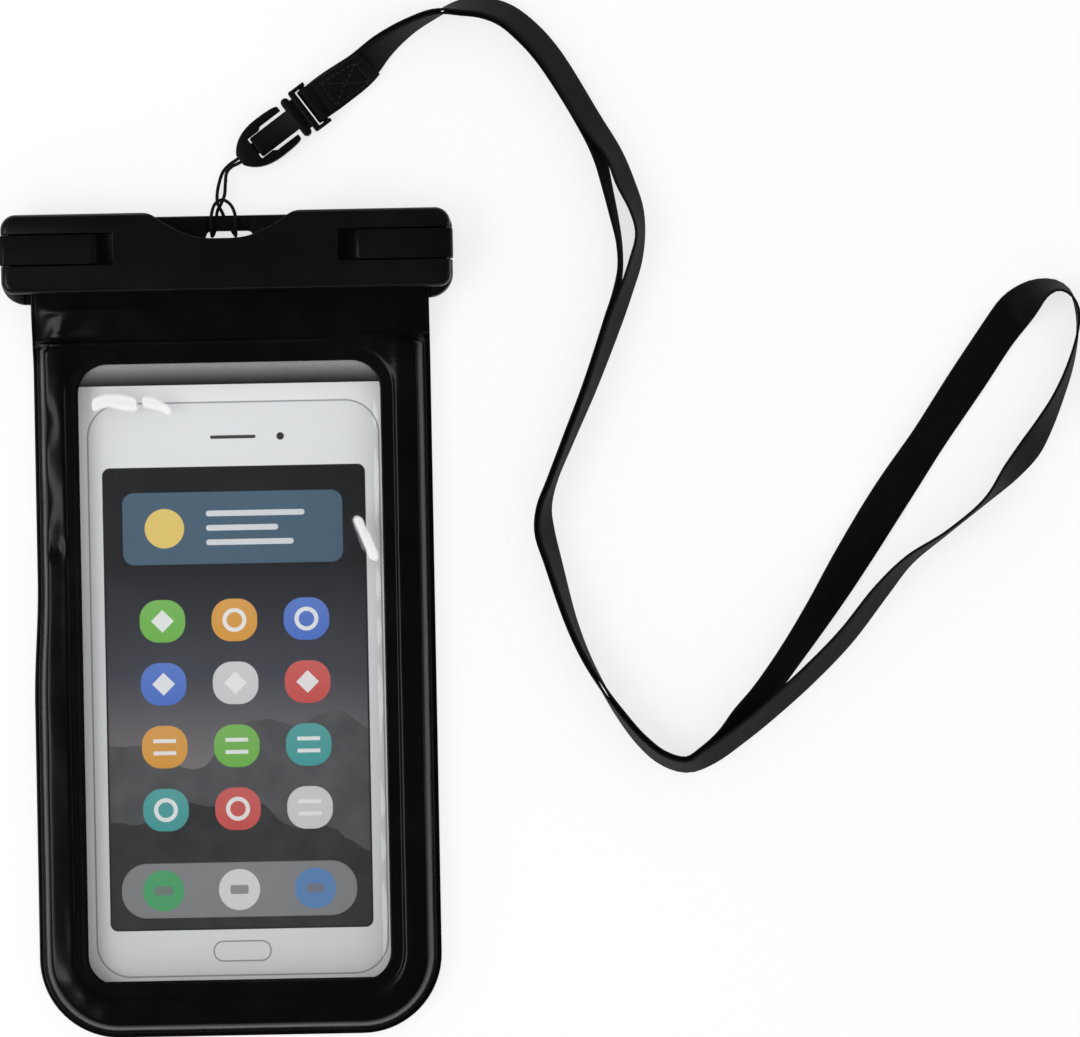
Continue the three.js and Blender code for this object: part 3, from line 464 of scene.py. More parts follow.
@dataclass(frozen=True)
class BraidedCord:
    """Thin black braid: strands that cross along and round the cord, with painted shade between
    them.
    """

    name: str = "braided_cord"
    pitch: float = 1.5

    def make(self) -> bpy.types.Material:
        """Builds the material.

        Returns:
            The material.
        """
        shader = Shader(self.name)
        along = shader.attribute("along")
        around = shader.attribute("around")
        turn = 2.0 * math.pi
        right = (along * (turn / self.pitch) + around * (2.0 * turn)).sine()
        left = (along * (turn / self.pitch) - around * (2.0 * turn)).sine()
        plait_and_painted_shade = (right.size() + left.size()) * 0.5
        # Painted shade: the colour is darker where the strands dip between each other and lighter
        # on their crests.
        colour = shader.blend(plait_and_painted_shade, (0.002, 0.002, 0.0022), (0.006, 0.0062, 0.0065))
        return shader.finish(shader.principled(
            Base_Color=colour, Roughness=0.72, Normal=shader.bump(plait_and_painted_shade, 0.00007),
            Specular_IOR_Level=0.15, Sheen_Weight=0.03, Sheen_Roughness=0.5))


@dataclass(frozen=True)
class SatinRibbon:
    """Black satin ribbon: fine slanting weave, corded edges, a faint green-blue cast and a painted
    sheen on the weave and its streaks.
    """

    name: str = "satin_ribbon"
    half_width: float = 5.1
    thread: float = 0.42
    base: Point = (0.0012, 0.0019, 0.0019)
    lit: Point = (0.0045, 0.0066, 0.0066)

    def make(self) -> bpy.types.Material:
        """Builds the material.

        Returns:
            The material.
        """
        shader = Shader(self.name)
        along = shader.attribute("along")
        across = shader.attribute("across")
        turn = 2.0 * math.pi / self.thread
        twill = ((along * 0.8 + across) * turn).sine() * 0.5 + 0.5
        picks = (along * (turn * 0.5)).sine() * 0.5 + 0.5
        rim = across.size().step(self.half_width - 0.9, self.half_width - 0.55)
        weave_and_painted_sheen = twill * (1.0 - rim) + picks * rim
        flat = shader.combine(along * 0.12, across * 1.6)
        streaks_and_painted_sheen = shader.speckle(1.0, 3.0, flat)
        # Painted sheen: the weave's crests and the streaks push the colour towards the lit colour.
        colour = shader.blend((weave_and_painted_sheen * 0.45 + streaks_and_painted_sheen * 0.6).within(), self.base, self.lit)
        rough = streaks_and_painted_sheen * 0.12 + rim * 0.1 + 0.5
        coarse = shader.bump(streaks_and_painted_sheen, 0.00012, 0.5)
        fine = shader.bump(weave_and_painted_sheen, 0.00005, 0.7, coarse)
        return shader.finish(shader.principled(
            Base_Color=colour, Roughness=rough, Normal=fine, Specular_IOR_Level=0.1))


@dataclass(frozen=True)
class SewingThread:
    """Twisted black thread."""

    name: str = "sewing_thread"

    def make(self) -> bpy.types.Material:
        """Builds the material.

        Returns:
            The material.
        """
        shader = Shader(self.name)
        ply = shader.speckle(3500.0, 2.0, shader.place((1.0, 1.0, 0.4), (0.0, 0.0, 0.7)))
        colour = shader.blend(ply, (0.004, 0.005, 0.005), (0.012, 0.014, 0.014))
        return shader.finish(shader.principled(
            Base_Color=colour, Roughness=0.6, Normal=shader.bump(ply, 0.00003)))


@dataclass(frozen=True)
class PaleFloor:
    """Pale studio floor that keeps a soft shadow and shows white to the camera."""

    name: str = "pale_floor"
    shown: float = 0.72

    def make(self) -> bpy.types.Material:
        """Builds the material.

        Returns:
            The material.
        """
        shader = Shader(self.name)
        colour = shader.blend(shader.speckle(400.0, 2.0), (0.9, 0.9, 0.9), (0.93, 0.93, 0.93))
        matt = shader.principled(Base_Color=colour, Roughness=0.9, Specular_IOR_Level=0.0)
        glow = shader.node("ShaderNodeEmission", None,
                           {"Color": WHITE, "Strength": 1.0}).outputs[0]
        rays = shader.node("ShaderNodeLightPath")
        camera = Signal(shader, rays.outputs["Is Camera Ray"])
        return shader.finish(shader.mixed(camera * self.shown, matt, glow))


@dataclass(frozen=True)
class CardPrint:
    """Coated card with a made-up handset: plain panels, tiles and hills in flat colours.

    A patch is a rounded rectangle in millimetres: its middle, its half sizes and its corner.
    """

    name: str = "card_print"
    blur: float = 0.14
    paper: Point = (0.87, 0.875, 0.885)
    handset: Point = (0.80, 0.81, 0.825)
    outline: Point = (0.36, 0.37, 0.40)
    body: Patch = ((0.6, -17.0), (38.4, 75.6), 9.0)
    screen: Patch = ((0.5, -19.4), (34.2, 60.6), 1.6)
    slit: Patch = ((0.5, 49.4), (6.0, 0.45), 0.4)
    press: Patch = ((0.5, -86.2), (7.5, 2.6), 2.5)
    lens: Pair = (13.0, 49.4)
    panel: Patch = ((0.0, 25.5), (29.0, 9.5), 3.0)
    disc: Pair = (-18.0, 25.5)
    bars: Sequence[Pair] = ((29.3, 13.0), (25.5, 9.5), (21.7, 11.5))
    bars_left: float = -7.0
    dock: Patch = ((0.0, -70.0), (31.0, 7.2), 6.8)
    button: Patch = ((0.0, 0.0), (5.4, 5.4), 5.3)
    button_mark: Patch = ((0.0, 0.0), (2.4, 1.2), 0.6)
    buttons: Sequence[tuple[float, Point]] = (
        (-20.0, (0.07, 0.42, 0.16)), (0.0, (0.75, 0.75, 0.77)), (20.0, (0.10, 0.26, 0.55)))
    tile: Patch = ((0.0, 0.0), (6.0, 5.6), 5.0)
    tile_pitch: Pair = (19.0, 16.6)
    tile_corner: Pair = (-28.5, -57.0)
    tile_grid: tuple[int, int] = (3, 4)
    tile_order: float = 5.0 / 12.0
    hues: Sequence[tuple[float, Point]] = (
        (0.0, (0.04, 0.36, 0.36)), (0.17, (0.75, 0.34, 0.03)), (0.33, (0.66, 0.07, 0.06)),
        (0.5, (0.06, 0.17, 0.62)), (0.67, (0.16, 0.5, 0.06)), (0.83, (0.66, 0.66, 0.68)))
    dusk: Sequence[tuple[float, Point]] = (
        (0.0, (0.11, 0.10, 0.11)), (0.35, (0.20, 0.18, 0.19)), (0.55, (0.055, 0.06, 0.08)),
        (0.8, (0.010, 0.011, 0.016)), (1.0, (0.005, 0.006, 0.009)))
    sky_range: Pair = (-80.0, 41.0)
    shade_range: Pair = (-95.0, 60.0)
    shade: float = 0.24
    face_range: Pair = (1.02, 1.08)

    def patch(self, x: Signal, y: Signal, middle: Pair, half: Pair, corner: float) -> Signal:
        """Distance in millimetres from a rounded rectangle, below 0 inside.

        Args:
            x: millimetres across.
            y: millimetres along.
            middle: its middle.
            half: its half sizes.
            corner: its corners' radius.

        Returns:
            The distance.
        """
        dx = (x - middle[0]).size() - (half[0] - corner)
        dy = (y - middle[1]).size() - (half[1] - corner)
        out_x = dx.at_least(0.0)
        out_y = dy.at_least(0.0)
        outside = (out_x * out_x + out_y * out_y).root()
        return outside + dx.at_least(dy).at_most(0.0) - corner

    def away(self, x: Signal, y: Signal, middle: Pair) -> Signal:
        """Distance in millimetres from a point."""
        dx, dy = x - middle[0], y - middle[1]
        return (dx * dx + dy * dy).root()

    def cover(self, distance: Signal) -> Signal:
        """1 inside a shape and 0 outside, with a thin soft edge."""
        return (0.5 - distance / self.blur).within()

    def landscape(self, shader: Shader, x: Signal, y: Signal) -> Any:
        """Dusk sky over two rows of hills.

        Args:
            shader: the tree that the nodes go to.
            x: millimetres across.
            y: millimetres along.

        Returns:
            The colour socket.
        """
        sky = shader.ramp(y.step(*self.sky_range), self.dusk)
        cloud = shader.speckle(34.0, 5.0, shader.place((0.5, 1.3, 1.0)))
        sky = shader.blend(cloud.step(0.5, 0.8) * 0.05, sky, (0.3, 0.3, 0.33))
        rough = shader.speckle(60.0, 6.0) * 9.0
        far = (x * 0.09).sine() * 6.0 + (x * 0.23 + 1.0).sine() * 2.4 + rough - 34.0
        near = (x * 0.06 + 2.0).sine() * 7.0 + (x * 0.31).sine() * 1.5 + rough - 58.0
        shade = shader.speckle(150.0, 5.0)
        stone = shader.blend(shade, (0.045, 0.047, 0.055), (0.13, 0.13, 0.14))
        turf = shader.blend(shade, (0.012, 0.014, 0.016), (0.05, 0.052, 0.055))
        view = shader.blend(self.cover(y - far), sky, stone)
        return shader.blend(self.cover(y - near), view, turf)

    def tiles(self, shader: Shader, x: Signal, y: Signal, under: Any) -> Any:
        """A grid of plain coloured tiles, each with a ring, two bars or a gem in white.

        Args:
            shader: the tree that the nodes go to.
            x: millimetres across.
            y: millimetres along.
            under: the colour below the tiles.

        Returns:
            The colour socket.
        """
        column = (x - self.tile_corner[0]) / self.tile_pitch[0]
        row = (y - self.tile_corner[1]) / self.tile_pitch[1]
        u = (column.fraction() - 0.5) * self.tile_pitch[0]
        v = (row.fraction() - 0.5) * self.tile_pitch[1]
        half = tuple(n * pitch / 2 for n, pitch in zip(self.tile_grid, self.tile_pitch))
        middle = tuple(low + reach for low, reach in zip(self.tile_corner, half))
        inside = self.cover(self.patch(x, y, middle, half, self.blur))
        number = column.floor() + row.floor() * float(self.tile_grid[0])
        mark = (number * self.tile_order + 0.02).fraction()
        hue = shader.ramp(mark, self.hues, "CONSTANT")
        lit = shader.blend((v / 14.0 + 0.5).within() * 0.06, hue, WHITE)
        view = shader.blend(self.cover(self.patch(u, v, *self.tile)) * inside, under, lit)
        ring = self.cover((self.away(u, v, (0.0, 0.0)) - 2.6).size() - 0.55)
        stripes = self.cover((v.size() - 1.6).size() - 0.5) * self.cover(u.size() - 3.0)
        gem = self.cover(u.size() + v.size() - 3.0)
        kind = (mark * 7.0).fraction()
        first = shader.maths("LESS_THAN", kind, 0.34)
        last = shader.maths("GREATER_THAN", kind, 0.67)
        glyph = ring * first + stripes * last + gem * (1.0 - first - last)
        return shader.blend(glyph * inside * 0.92, view, (0.9, 0.9, 0.9))

    def display(self, shader: Shader, x: Signal, y: Signal) -> Any:
        """The handset's screen: a panel, the tiles and a dock over the landscape.

        Args:
            shader: the tree that the nodes go to.
            x: millimetres across.
            y: millimetres along.

        Returns:
            The colour socket.
        """
        view = self.landscape(shader, x, y)
        panel = self.cover(self.patch(x, y, *self.panel))
        view = shader.blend(panel * 0.62, view, (0.10, 0.20, 0.30))
        disc = self.cover(self.away(x, y, self.disc) - 5.2)
        view = shader.blend(disc, view, (0.82, 0.60, 0.16))
        for height, reach in self.bars:
            bar = self.cover(self.patch(x, y, (reach + self.bars_left, height), (reach, 0.75), 0.7))
            view = shader.blend(bar * 0.8, view, (0.85, 0.87, 0.9))
        view = self.tiles(shader, x, y, view)
        dock = self.cover(self.patch(x, y, *self.dock))
        view = shader.blend(dock * 0.3, view, (0.75, 0.77, 0.8))
        for place, colour in self.buttons:
            u, v = x - place, y - self.dock[0][1]
            view = shader.blend(self.cover(self.patch(u, v, *self.button)), view, colour)
            mark = self.cover(self.patch(u, v, *self.button_mark))
            view = shader.blend(mark * 0.8, view, (0.2, 0.2, 0.22))
        return view

    def make(self) -> bpy.types.Material:
        """Builds the material.

        Returns:
            The material.
        """
        shader = Shader(self.name)
        x, y, z = shader.axes()
        view = self.display(shader, x, y)
        body = self.patch(x, y, *self.body)
        screen = self.patch(x, y, *self.screen)
        press = self.patch(x, y, *self.press)
        face = shader.blend(self.cover(body), self.paper, self.handset)
        face = shader.blend(self.cover(body.size() - 0.22), face, self.outline)
        face = shader.blend(self.cover(screen - 0.5), face, (0.012, 0.012, 0.014))
        face = shader.blend(self.cover(screen), face, view)
        face = shader.blend(self.cover(self.patch(x, y, *self.slit)), face, (0.05, 0.05, 0.055))
        lens = self.cover(self.away(x, y, self.lens) - 1.0)
        face = shader.blend(lens, face, (0.03, 0.03, 0.035))
        face = shader.blend(self.cover(press.size() - 0.2), face, (0.32, 0.33, 0.36))
        darker = (1.0 - y.step(*self.shade_range)) * self.shade
        face = shader.blend(darker, face, (0.0, 0.0, 0.0))
        colour = shader.blend(z.step(*self.face_range), (0.74, 0.74, 0.73), face)
        fibre = shader.speckle(1800.0, 3.0)
        colour = shader.blend(fibre * 0.015, colour, (0.5, 0.5, 0.5))
        return shader.finish(shader.principled(
            Base_Color=colour, Roughness=fibre * 0.08 + 0.34,
            Normal=shader.bump(fibre, 0.000006)))


# Mesh helpers


def lay_grid(mesh: bmesh.types.BMesh, columns: int, rows: int, place: Place,
             carried: Carried | None) -> None:
    """Adds a grid laid on a surface.

    Args:
        mesh: what the grid is added to.
        columns: faces along the first direction.
        rows: faces along the second direction.
        place: gives the point of a column and a row.
        carried: values that the mesh carries at its points, by name.
    """
    layers = {key: mesh.verts.layers.float.get(key) or mesh.verts.layers.float.new(key)
              for key in (carried or {})}
    made = bmesh.ops.create_grid(mesh, x_segments=columns, y_segments=rows, size=0.5)
    for vert in made["verts"]:
        i = round((vert.co.x + 0.5) * columns)
        j = round((vert.co.y + 0.5) * rows)
        vert.co = place(i, j)
        for key, layer in layers.items():
            vert[layer] = carried[key](i, j)


def tidy(mesh: bmesh.types.BMesh, weld: float) -> None:
    """Merges doubles and removes faces without area."""
    bmesh.ops.remove_doubles(mesh, verts=mesh.verts, dist=weld)
    bmesh.ops.dissolve_degenerate(mesh, edges=mesh.edges, dist=weld)


def mapped_grid(name: str, columns: int, rows: int, place: Place,
                carried: Carried) -> bpy.types.Object:
    """A grid laid round a tube, closed along its length and at both ends.

    Args:
        name: the object's name.
        columns: faces round the tube.
        rows: faces along it.
        place: gives the point of a column and a row.
        carried: values that the mesh carries at its points, by name.

    Returns:
        The object, linked to the scene.
    """
    mesh = bmesh.new()
    lay_grid(mesh, columns, rows, place, carried)
    tidy(mesh, 1e-7)
    bmesh.ops.holes_fill(mesh, edges=mesh.edges, sides=0)
    return finished(name, mesh)


def finished(name: str, mesh: bmesh.types.BMesh) -> bpy.types.Object:
    """Makes an object of a bmesh, shaded smooth.

    Args:
        name: the object's name.
        mesh: the bmesh, freed here.

    Returns:
        The object, linked to the scene.
    """
    for face in mesh.faces:
        face.smooth = True
    data = bpy.data.meshes.new(name)
    mesh.to_mesh(data)
    mesh.free()
    made = bpy.data.objects.new(name, data)
    bpy.context.scene.collection.objects.link(made)
    return made


def faces_out(made: bpy.types.Object, upward: bool = False) -> None:
    """Turns a mesh's faces outwards, or upwards where it is an open sheet.

    Args:
        made: the mesh's object.
        upward: whether it is an open sheet.
    """
    mesh = bmesh.new()
    mesh.from_mesh(made.data)
    bmesh.ops.recalc_face_normals(mesh, faces=mesh.faces)
    if upward and sum(face.normal.z * face.calc_area() for face in mesh.faces) < 0:
        bmesh.ops.reverse_faces(mesh, faces=mesh.faces)
    mesh.to_mesh(made.data)
    mesh.free()


def thicken(made: bpy.types.Object, thickness: float) -> None:
    """Gives an open sheet its thickness, below its upper face.

    Args:
        made: the sheet's object.
        thickness: its thickness in metres.
    """
    shell = made.modifiers.new("thickness", "SOLIDIFY")
    shell.thickness = thickness
    shell.offset = -1.0
    shell.use_even_offset = True


def dress(made: bpy.types.Object, body: Body, slot: Slot, material: bpy.types.Material,
          replaced: Sequence[str] = ()) -> None:
    """Gives a new piece its material and body, and hides the CAD nodes that it stands for.

    Args:
        made: the piece's object.
        body: the CAD body that it rides on.
        slot: not used.
        material: its material.
        replaced: the CAD nodes that it stands for.
    """
    made.data.materials.clear()
    made.data.materials.append(material)
    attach(made, body.value)
    if replaced:
        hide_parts(*replaced)
    LOG.info("%s rides on %s", made.name, body.value)


def dress_node(node: str, material: bpy.types.Material) -> None:
    """Gives a CAD node its material.

    Args:
        node: the CAD node.
        material: its material.
    """
    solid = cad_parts[node]
    solid.data.materials.clear()
    solid.data.materials.append(material)
    LOG.info("%s keeps its CAD shape", node)


def softened(node: str, name: str, radius: float, segments: int = 3) -> bpy.types.Object:
    """A copy of a CAD node with its sharp edges rounded.

    Args:
        node: the CAD node.
        name: the copy's name.
        radius: width of the rounding in metres.
        segments: steps across the rounding.

    Returns:
        The object, linked to the scene.
    """
    mesh = bmesh.new()
    mesh.from_mesh(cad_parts[node].data)
    bmesh.ops.remove_doubles(mesh, verts=mesh.verts, dist=2e-6)
    bmesh.ops.dissolve_limit(mesh, angle_limit=FLAT_ANGLE, verts=mesh.verts, edges=mesh.edges)
    sharp = [edge for edge in mesh.edges
             if len(edge.link_faces) == 2 and edge.calc_face_angle(0.0) > SHARP_ANGLE]
    bmesh.ops.bevel(mesh, geom=sharp, offset=radius, offset_type="OFFSET", affect="EDGES",
                    segments=segments, profile=0.5, material=-1, clamp_overlap=True)
    bmesh.ops.triangulate(mesh, faces=[f for f in mesh.faces if len(f.verts) > 4])
    made = finished(name, mesh)
    made.data.set_sharp_from_angle(angle=SHADED_ANGLE)
    return made


def smoothstep(value: float, low: float, high: float) -> float:
    """A smooth step from 0 at low to 1 at high."""
    share = min(max((value - low) / (high - low), 0.0), 1.0)
    return share * share * (3.0 - 2.0 * share)


def mix(first: float, second: float, share: float) -> float:
    """A value between two values."""
    return first + (second - first) * share


def hump(value: float, middle: float, reach: float, height: float = 1.0) -> float:
    """A smooth hump, falling off over its reach."""
    return height * math.exp(-((value - middle) / reach) ** 2)


def between(value: float, starts: Pair, ends: Pair) -> float:
    """1 between two soft ends and 0 outside them."""
    return smoothstep(value, *starts) * (1.0 - smoothstep(value, *ends))


def travelled_along(places: Sequence[Vector], start: float = 0.0) -> list[float]:
    """The distance travelled at each of a line's points.

    Args:
        places: the line's points.
        start: the distance at the first one.

    Returns:
        The distances.
    """
    result = [start]
    for a, b in zip(places, places[1:]):
        result.append(result[-1] + (b - a).length)
    return result


def spline(points: Sequence[Sequence[float]], step: float, flat: bool) -> list[list[float]]:
    """Evenly spaced points on a smooth centripetal curve.

    Args:
        points: what the curve passes through; their first values are its place.
        step: distance between the new points.
        flat: whether the place is two values and not three.

    Returns:
        The new points, with every value carried along.
    """
    size = 2 if flat else 3
    fine: list[list[float]] = []
    for i in range(len(points) - 1):
        four = [points[k] for k in (max(i - 1, 0), i, i + 1, min(i + 2, len(points) - 1))]
        knots = [0.0]
        for a, b in zip(four, four[1:]):
            knots.append(knots[-1] + max(math.dist(a[:size], b[:size]), 0.05) ** 0.5)
        for k in range(24):
            t = mix(knots[1], knots[2], k / 24)
            fine.append([curve_value(knots, [p[c] for p in four], t)
                         for c in range(len(points[0]))])
    fine.append(list(points[-1]))
    lengths = [0.0]
    for a, b in zip(fine, fine[1:]):
        lengths.append(lengths[-1] + math.dist(a[:size], b[:size]))
    count = max(round(lengths[-1] / step), 2)
    result, at = [], 0
    for k in range(count + 1):
        goal = lengths[-1] * k / count
        while at < len(lengths) - 2 and lengths[at + 1] < goal:
            at += 1
        part = (goal - lengths[at]) / max(lengths[at + 1] - lengths[at], 1e-9)
        result.append([mix(a, b, part) for a, b in zip(fine[at], fine[at + 1])])
    return result


def curve_value(knots: Sequence[float], values: Sequence[float], t: float) -> float:
    """One value of a centripetal curve between the middle two of four values.

    Args:
        knots: the four points' knots.
        values: their values.
        t: the knot that is asked for, between the middle two.

    Returns:
        The value.
    """
    level = list(values)
    for spans in (((0, 1), (1, 2), (2, 3)), ((0, 2), (1, 3)), ((1, 2),)):
        level = [mix(level[i], level[i + 1], (t - knots[a]) / (knots[b] - knots[a]))
                 for i, (a, b) in enumerate(spans)]
    return level[0]


# Films


@dataclass(frozen=True)
class Waves:
    """Soft noise waves, in millimetres."""

    height: float
    length_x: float
    length_y: float
    seed: float

    def at(self, x: float, y: float) -> float:
        """The waves' height at a point."""
        return self.height * noise.noise(Vector((x / self.length_x, y / self.length_y, self.seed)))


@dataclass(frozen=True)
class Ridge:
    """A soft ridge in millimetres, on a line that leans and sways, between two soft ends."""

    height: float
    middle: float
    reach: float
    starts: Pair
    ends: Pair
    lean: float = 0.0
    origin: float = 0.0
    sway: float = 0.0
    sway_rate: float = 0.55

    def at(self, along: float, across: float) -> float:
        """The ridge's height at a point.

        Args:
            along: the place along the ridge.
            across: the place across it.

        Returns:
            The height.
        """
        line = self.middle + self.lean * (along - self.origin)
        line += self.sway * math.sin(along * self.sway_rate)
        return hump(across, line, self.reach, self.height) * between(along, self.starts, self.ends)


@dataclass
class PouchFilms:
    """The welded films, in millimetres.

    Ranges are where a soft step starts and ends; marks are a middle, a reach and, where it
    isn't 1, a height.
    """

    half_width: float = 53.0
    bottom: float = -108.5
    neck_seam: float = 74.3
    film_top: float = 99.4
    corner: float = 21.0
    film: float = 0.4
    border: float = 13.3
    weld_band: float = 3.3
    window_half: float = 39.7
    window_low: float = -94.1
    window_high: float = 68.9
    window_corner: float = 7.6
    lap: float = 3.0
    flange: float = 1.3
    puff_height: float = 7.0
    puff_crest: float = 9.0
    puff_end: float = 10.2
    wall: float = 0.34
    level_share: float = 0.07
    slack_share: float = 0.44
    slack_marks: Sequence[Pair] = ((54.0, 5.0), (33.0, 7.0))
    slack_corner: Pair = (38.0, 30.0)
    slack_corner_end: float = 12.0
    slack_right: Point = (66.0, 6.0, 0.25)
    valley_height: float = 6.6
    neck_crest: float = 22.0
    neck_range: Pair = (72.5, 77.0)
    band_height: float = 6.25
    band_step: float = 0.6
    rim_closing: float = 0.27
    rim_range: Pair = (1.2, 3.0)
    rim_groove: Point = (0.85, 0.25, -0.07)
    band_bead: Point = (0.5, 0.22, 0.1)
    band_rib: Point = (2.9, 0.2, 0.08)
    seam_ridge: Pair = (0.42, 0.42)
    seam_lift: float = 0.25
    seam_bend: float = 1.8
    seam_range: Pair = (18.0, 50.0)
    front_lift: float = 0.7
    jaw_rise: float = 6.5
    rise_start: float = 66.1
    rise_end: float = 86.1
    seal_y: float = 93.0
    seal_depth: float = 1.6
    seal_mouth: float = 2.2
    seal_floor: float = 0.8
    window_top_z: float = 6.93
    window_sag: float = 0.62
    insets: Sequence[float] = (0.0, 0.35, 0.7, 1.0, 1.3, 1.6, 2.0, 2.5, 3.0, 3.6, 4.2, 4.9, 5.6,
                               6.3, 7.0, 7.7, 8.3, 8.9, 9.4, 9.8, 10.1, 10.5, 11.2, 12.0, 12.7,
                               13.0, 13.3)
    side_steps: int = 112
    end_steps: int = 46
    corner_steps: int = 18
    shoulder_steps: int = 10
    neck_grid: tuple[int, int] = (40, 44)
    neck_insets: int = 20
    back_grid: tuple[int, int] = (60, 120)
    back_corner_steps: int = 16
    window_grid: tuple[int, int] = (110, 190)
    window_corner_steps: int = 10
    front_waves: Sequence[Waves] = (Waves(0.5, 17.0, 30.0, 3.1), Waves(0.12, 6.0, 7.0, 8.3))
    fan_waves: Waves = Waves(0.3, 8.0, 45.0, 5.7)
    back_waves: Waves = Waves(0.1, 22.0, 26.0, 1.7)
    neck_waves: Waves = Waves(0.2, 9.0, 40.0, 2.2)
    window_waves: Waves = Waves(0.16, 24.0, 30.0, 9.4)
    crease_waves: Waves = Waves(0.5, 3.2, 3.2, 6.6)
    pinch: Point = (20.8, 2.4, -0.85)
    pinch_right: float = 0.35
    soft_range: Pair = (1.4, 4.5)
    soft_band: float = 3.0
    pucker_height: float = 0.05
    pucker_rate: float = 13.0
    pucker_shift: float = 0.8
    free_range: Pair = (82.0, 87.5)
    fan_range: Pair = (74.0, 78.0)
    fan_edge: Pair = (1.0, 6.0)
    pull: float = 1.3
    pull_reach: float = 12.0
    pull_range: Pair = (-20.0, 12.0)
    back_edge: Pair = (1.5, 8.0)
    back_range: Pair = (60.0, 70.0)
    back_neck: tuple[Pair, Pair] = ((66.0, 74.0), (80.0, 84.0))
    sag_range: Pair = (0.0, 3.2)
    wave_range: Pair = (0.5, 6.0)
    window_edge: Pair = (-0.6, 0.6)
    pleat_mark: Point = (37.5, 1.6, 0.14)
    pleat_rates: Pair = (0.33, 0.11)
    pleat_sway: float = 2.0
    # Where the clear film's painted glare lies, along its creases.
    glare_line: float = 58.9
    glare_sway: float = 0.5
    glare_rate: float = 0.55
    glare_fork: float = -23.5
    glare_fall: float = 0.3
    glare_reach: float = 2.4
    glare_narrower: float = 0.6
    glare_narrowing: Pair = (-25.0, -21.0)
    glare_raggedness: float = 1.2
    glare_ends: tuple[Pair, Pair] = ((-37.2, -35.4), (-17.0, -13.5))
    gap_lean: float = 0.2
    gap_middle: float = 58.0
    gap_reach: float = 0.7
    side_glare: float = 35.1
    side_lean: float = 0.4
    side_middle: float = 22.4
    side_reach: float = 1.7
    side_ends: tuple[Pair, Pair] = ((14.6, 17.2), (26.5, 29.5))
    neck_folds: Sequence[Ridge] = (
        Ridge(0.4, 83.2, 0.9, (-51.0, -46.0), (-30.0, -16.0), 0.02, -35.0),
        Ridge(0.5, 80.2, 3.0, (-51.0, -46.0), (-41.0, -36.0), 0.85, -43.0))
    cross_crease: Ridge = Ridge(0.62, 57.8, 1.5, (-38.5, -34.0), (-22.0, -14.0), sway=0.35)
    long_creases: Sequence[Ridge] = (
        Ridge(0.6, 34.6, 1.5, (14.0, 20.0), (26.0, 31.0), -0.35, 22.4),
        Ridge(0.35, -37.3, 0.9, (-90.0, -84.0), (-66.0, -50.0)))

    def rise(self, y: float) -> float:
        """Height that both films gain along the neck."""
        return self.jaw_rise * smoothstep(y, self.rise_start, self.rise_end)

    def dip(self, y: float) -> float:
        """Depth of the seal at y."""
        slope = self.seal_mouth - self.seal_floor
        return self.seal_depth * min(max((self.seal_mouth - abs(y - self.seal_y)) / slope, 0), 1)

    def inset(self, x: float, y: float) -> float:
        """Distance from the pouch's edge.

        Args:
            x: the point's place across the pouch.
            y: the point's place along it.

        Returns:
            The distance.
        """
        side, end = self.half_width - abs(x), y - self.bottom
        if side >= self.corner or end >= self.corner:
            return min(side, end)
        return self.corner - math.hypot(self.corner - side, self.corner - end)

    def outset(self, x: float, y: float) -> float:
        """Distance outside the window's edge, below 0 in the window.

        Args:
            x: the point's place across the pouch.
            y: the point's place along it.

        Returns:
            The distance.
        """
        middle = (self.window_low + self.window_high) / 2
        dx = abs(x) - (self.window_half - self.window_corner)
        dy = abs(y - middle) - ((self.window_high - self.window_low) / 2 - self.window_corner)
        return (math.hypot(max(dx, 0), max(dy, 0)) + min(max(dx, dy), 0) - self.window_corner)

    def ripple(self, x: float, y: float) -> float:
        """Soft waves, pinches and folds of the black front film.

        Args:
            x: the point's place across the pouch.
            y: the point's place along it.

        Returns:
            The height.
        """
        soft = (smoothstep(self.inset(x, y), *self.soft_range)
                * smoothstep(self.outset(x, y), self.weld_band, self.weld_band + self.soft_band))
        waves = sum(each.at(x, y) for each in self.front_waves)
        pinch = hump(y, *self.pinch) * (1.0 if x < 0 else self.pinch_right)
        pucker = 0.0
        if y < self.bottom + self.corner and abs(x) > self.half_width - self.corner:
            angle = math.atan2(y - self.bottom - self.corner,
                               abs(x) - self.half_width + self.corner)
            shift = self.pucker_shift if x > 0 else 0.0
            pucker = self.pucker_height * math.sin(angle * self.pucker_rate + shift)
        free = 1.0 - smoothstep(y, *self.free_range)
        fan = (self.fan_waves.at(x, y) * smoothstep(y, *self.fan_range) * free
               * smoothstep(self.half_width - abs(x), *self.fan_edge))
        folds = sum(each.at(x, y) for each in self.neck_folds)
        return soft * (waves + pinch + pucker) * free + fan + folds

    def slack(self, x: float, y: float) -> float:
        """How far the puffed border leans outwards, 0 to 1, in a few soft places.

        Args:
            x: the point's place across the pouch.
            y: the point's place along it.

        Returns:
            The share.
        """
        if x > 0:
            return hump(y, *self.slack_right)
        upper = sum(hump(y, *each) for each in self.slack_marks)
        lean = math.atan2(self.bottom + self.corner - y, -x - self.half_width + self.corner)
        near = y < self.bottom + self.corner + self.slack_corner_end
        corner = hump(math.degrees(lean), *self.slack_corner) if near else 0.0
        return min(upper + corner, 1.0)

    def drawn_in(self, x: float, y: float) -> float:
        """x, with the left edge of both films drawn in along their upper half."""
        edge = 1 - smoothstep(self.half_width + x, 0.0, self.pull_reach)
        return x + self.pull * edge * smoothstep(y, *self.pull_range)

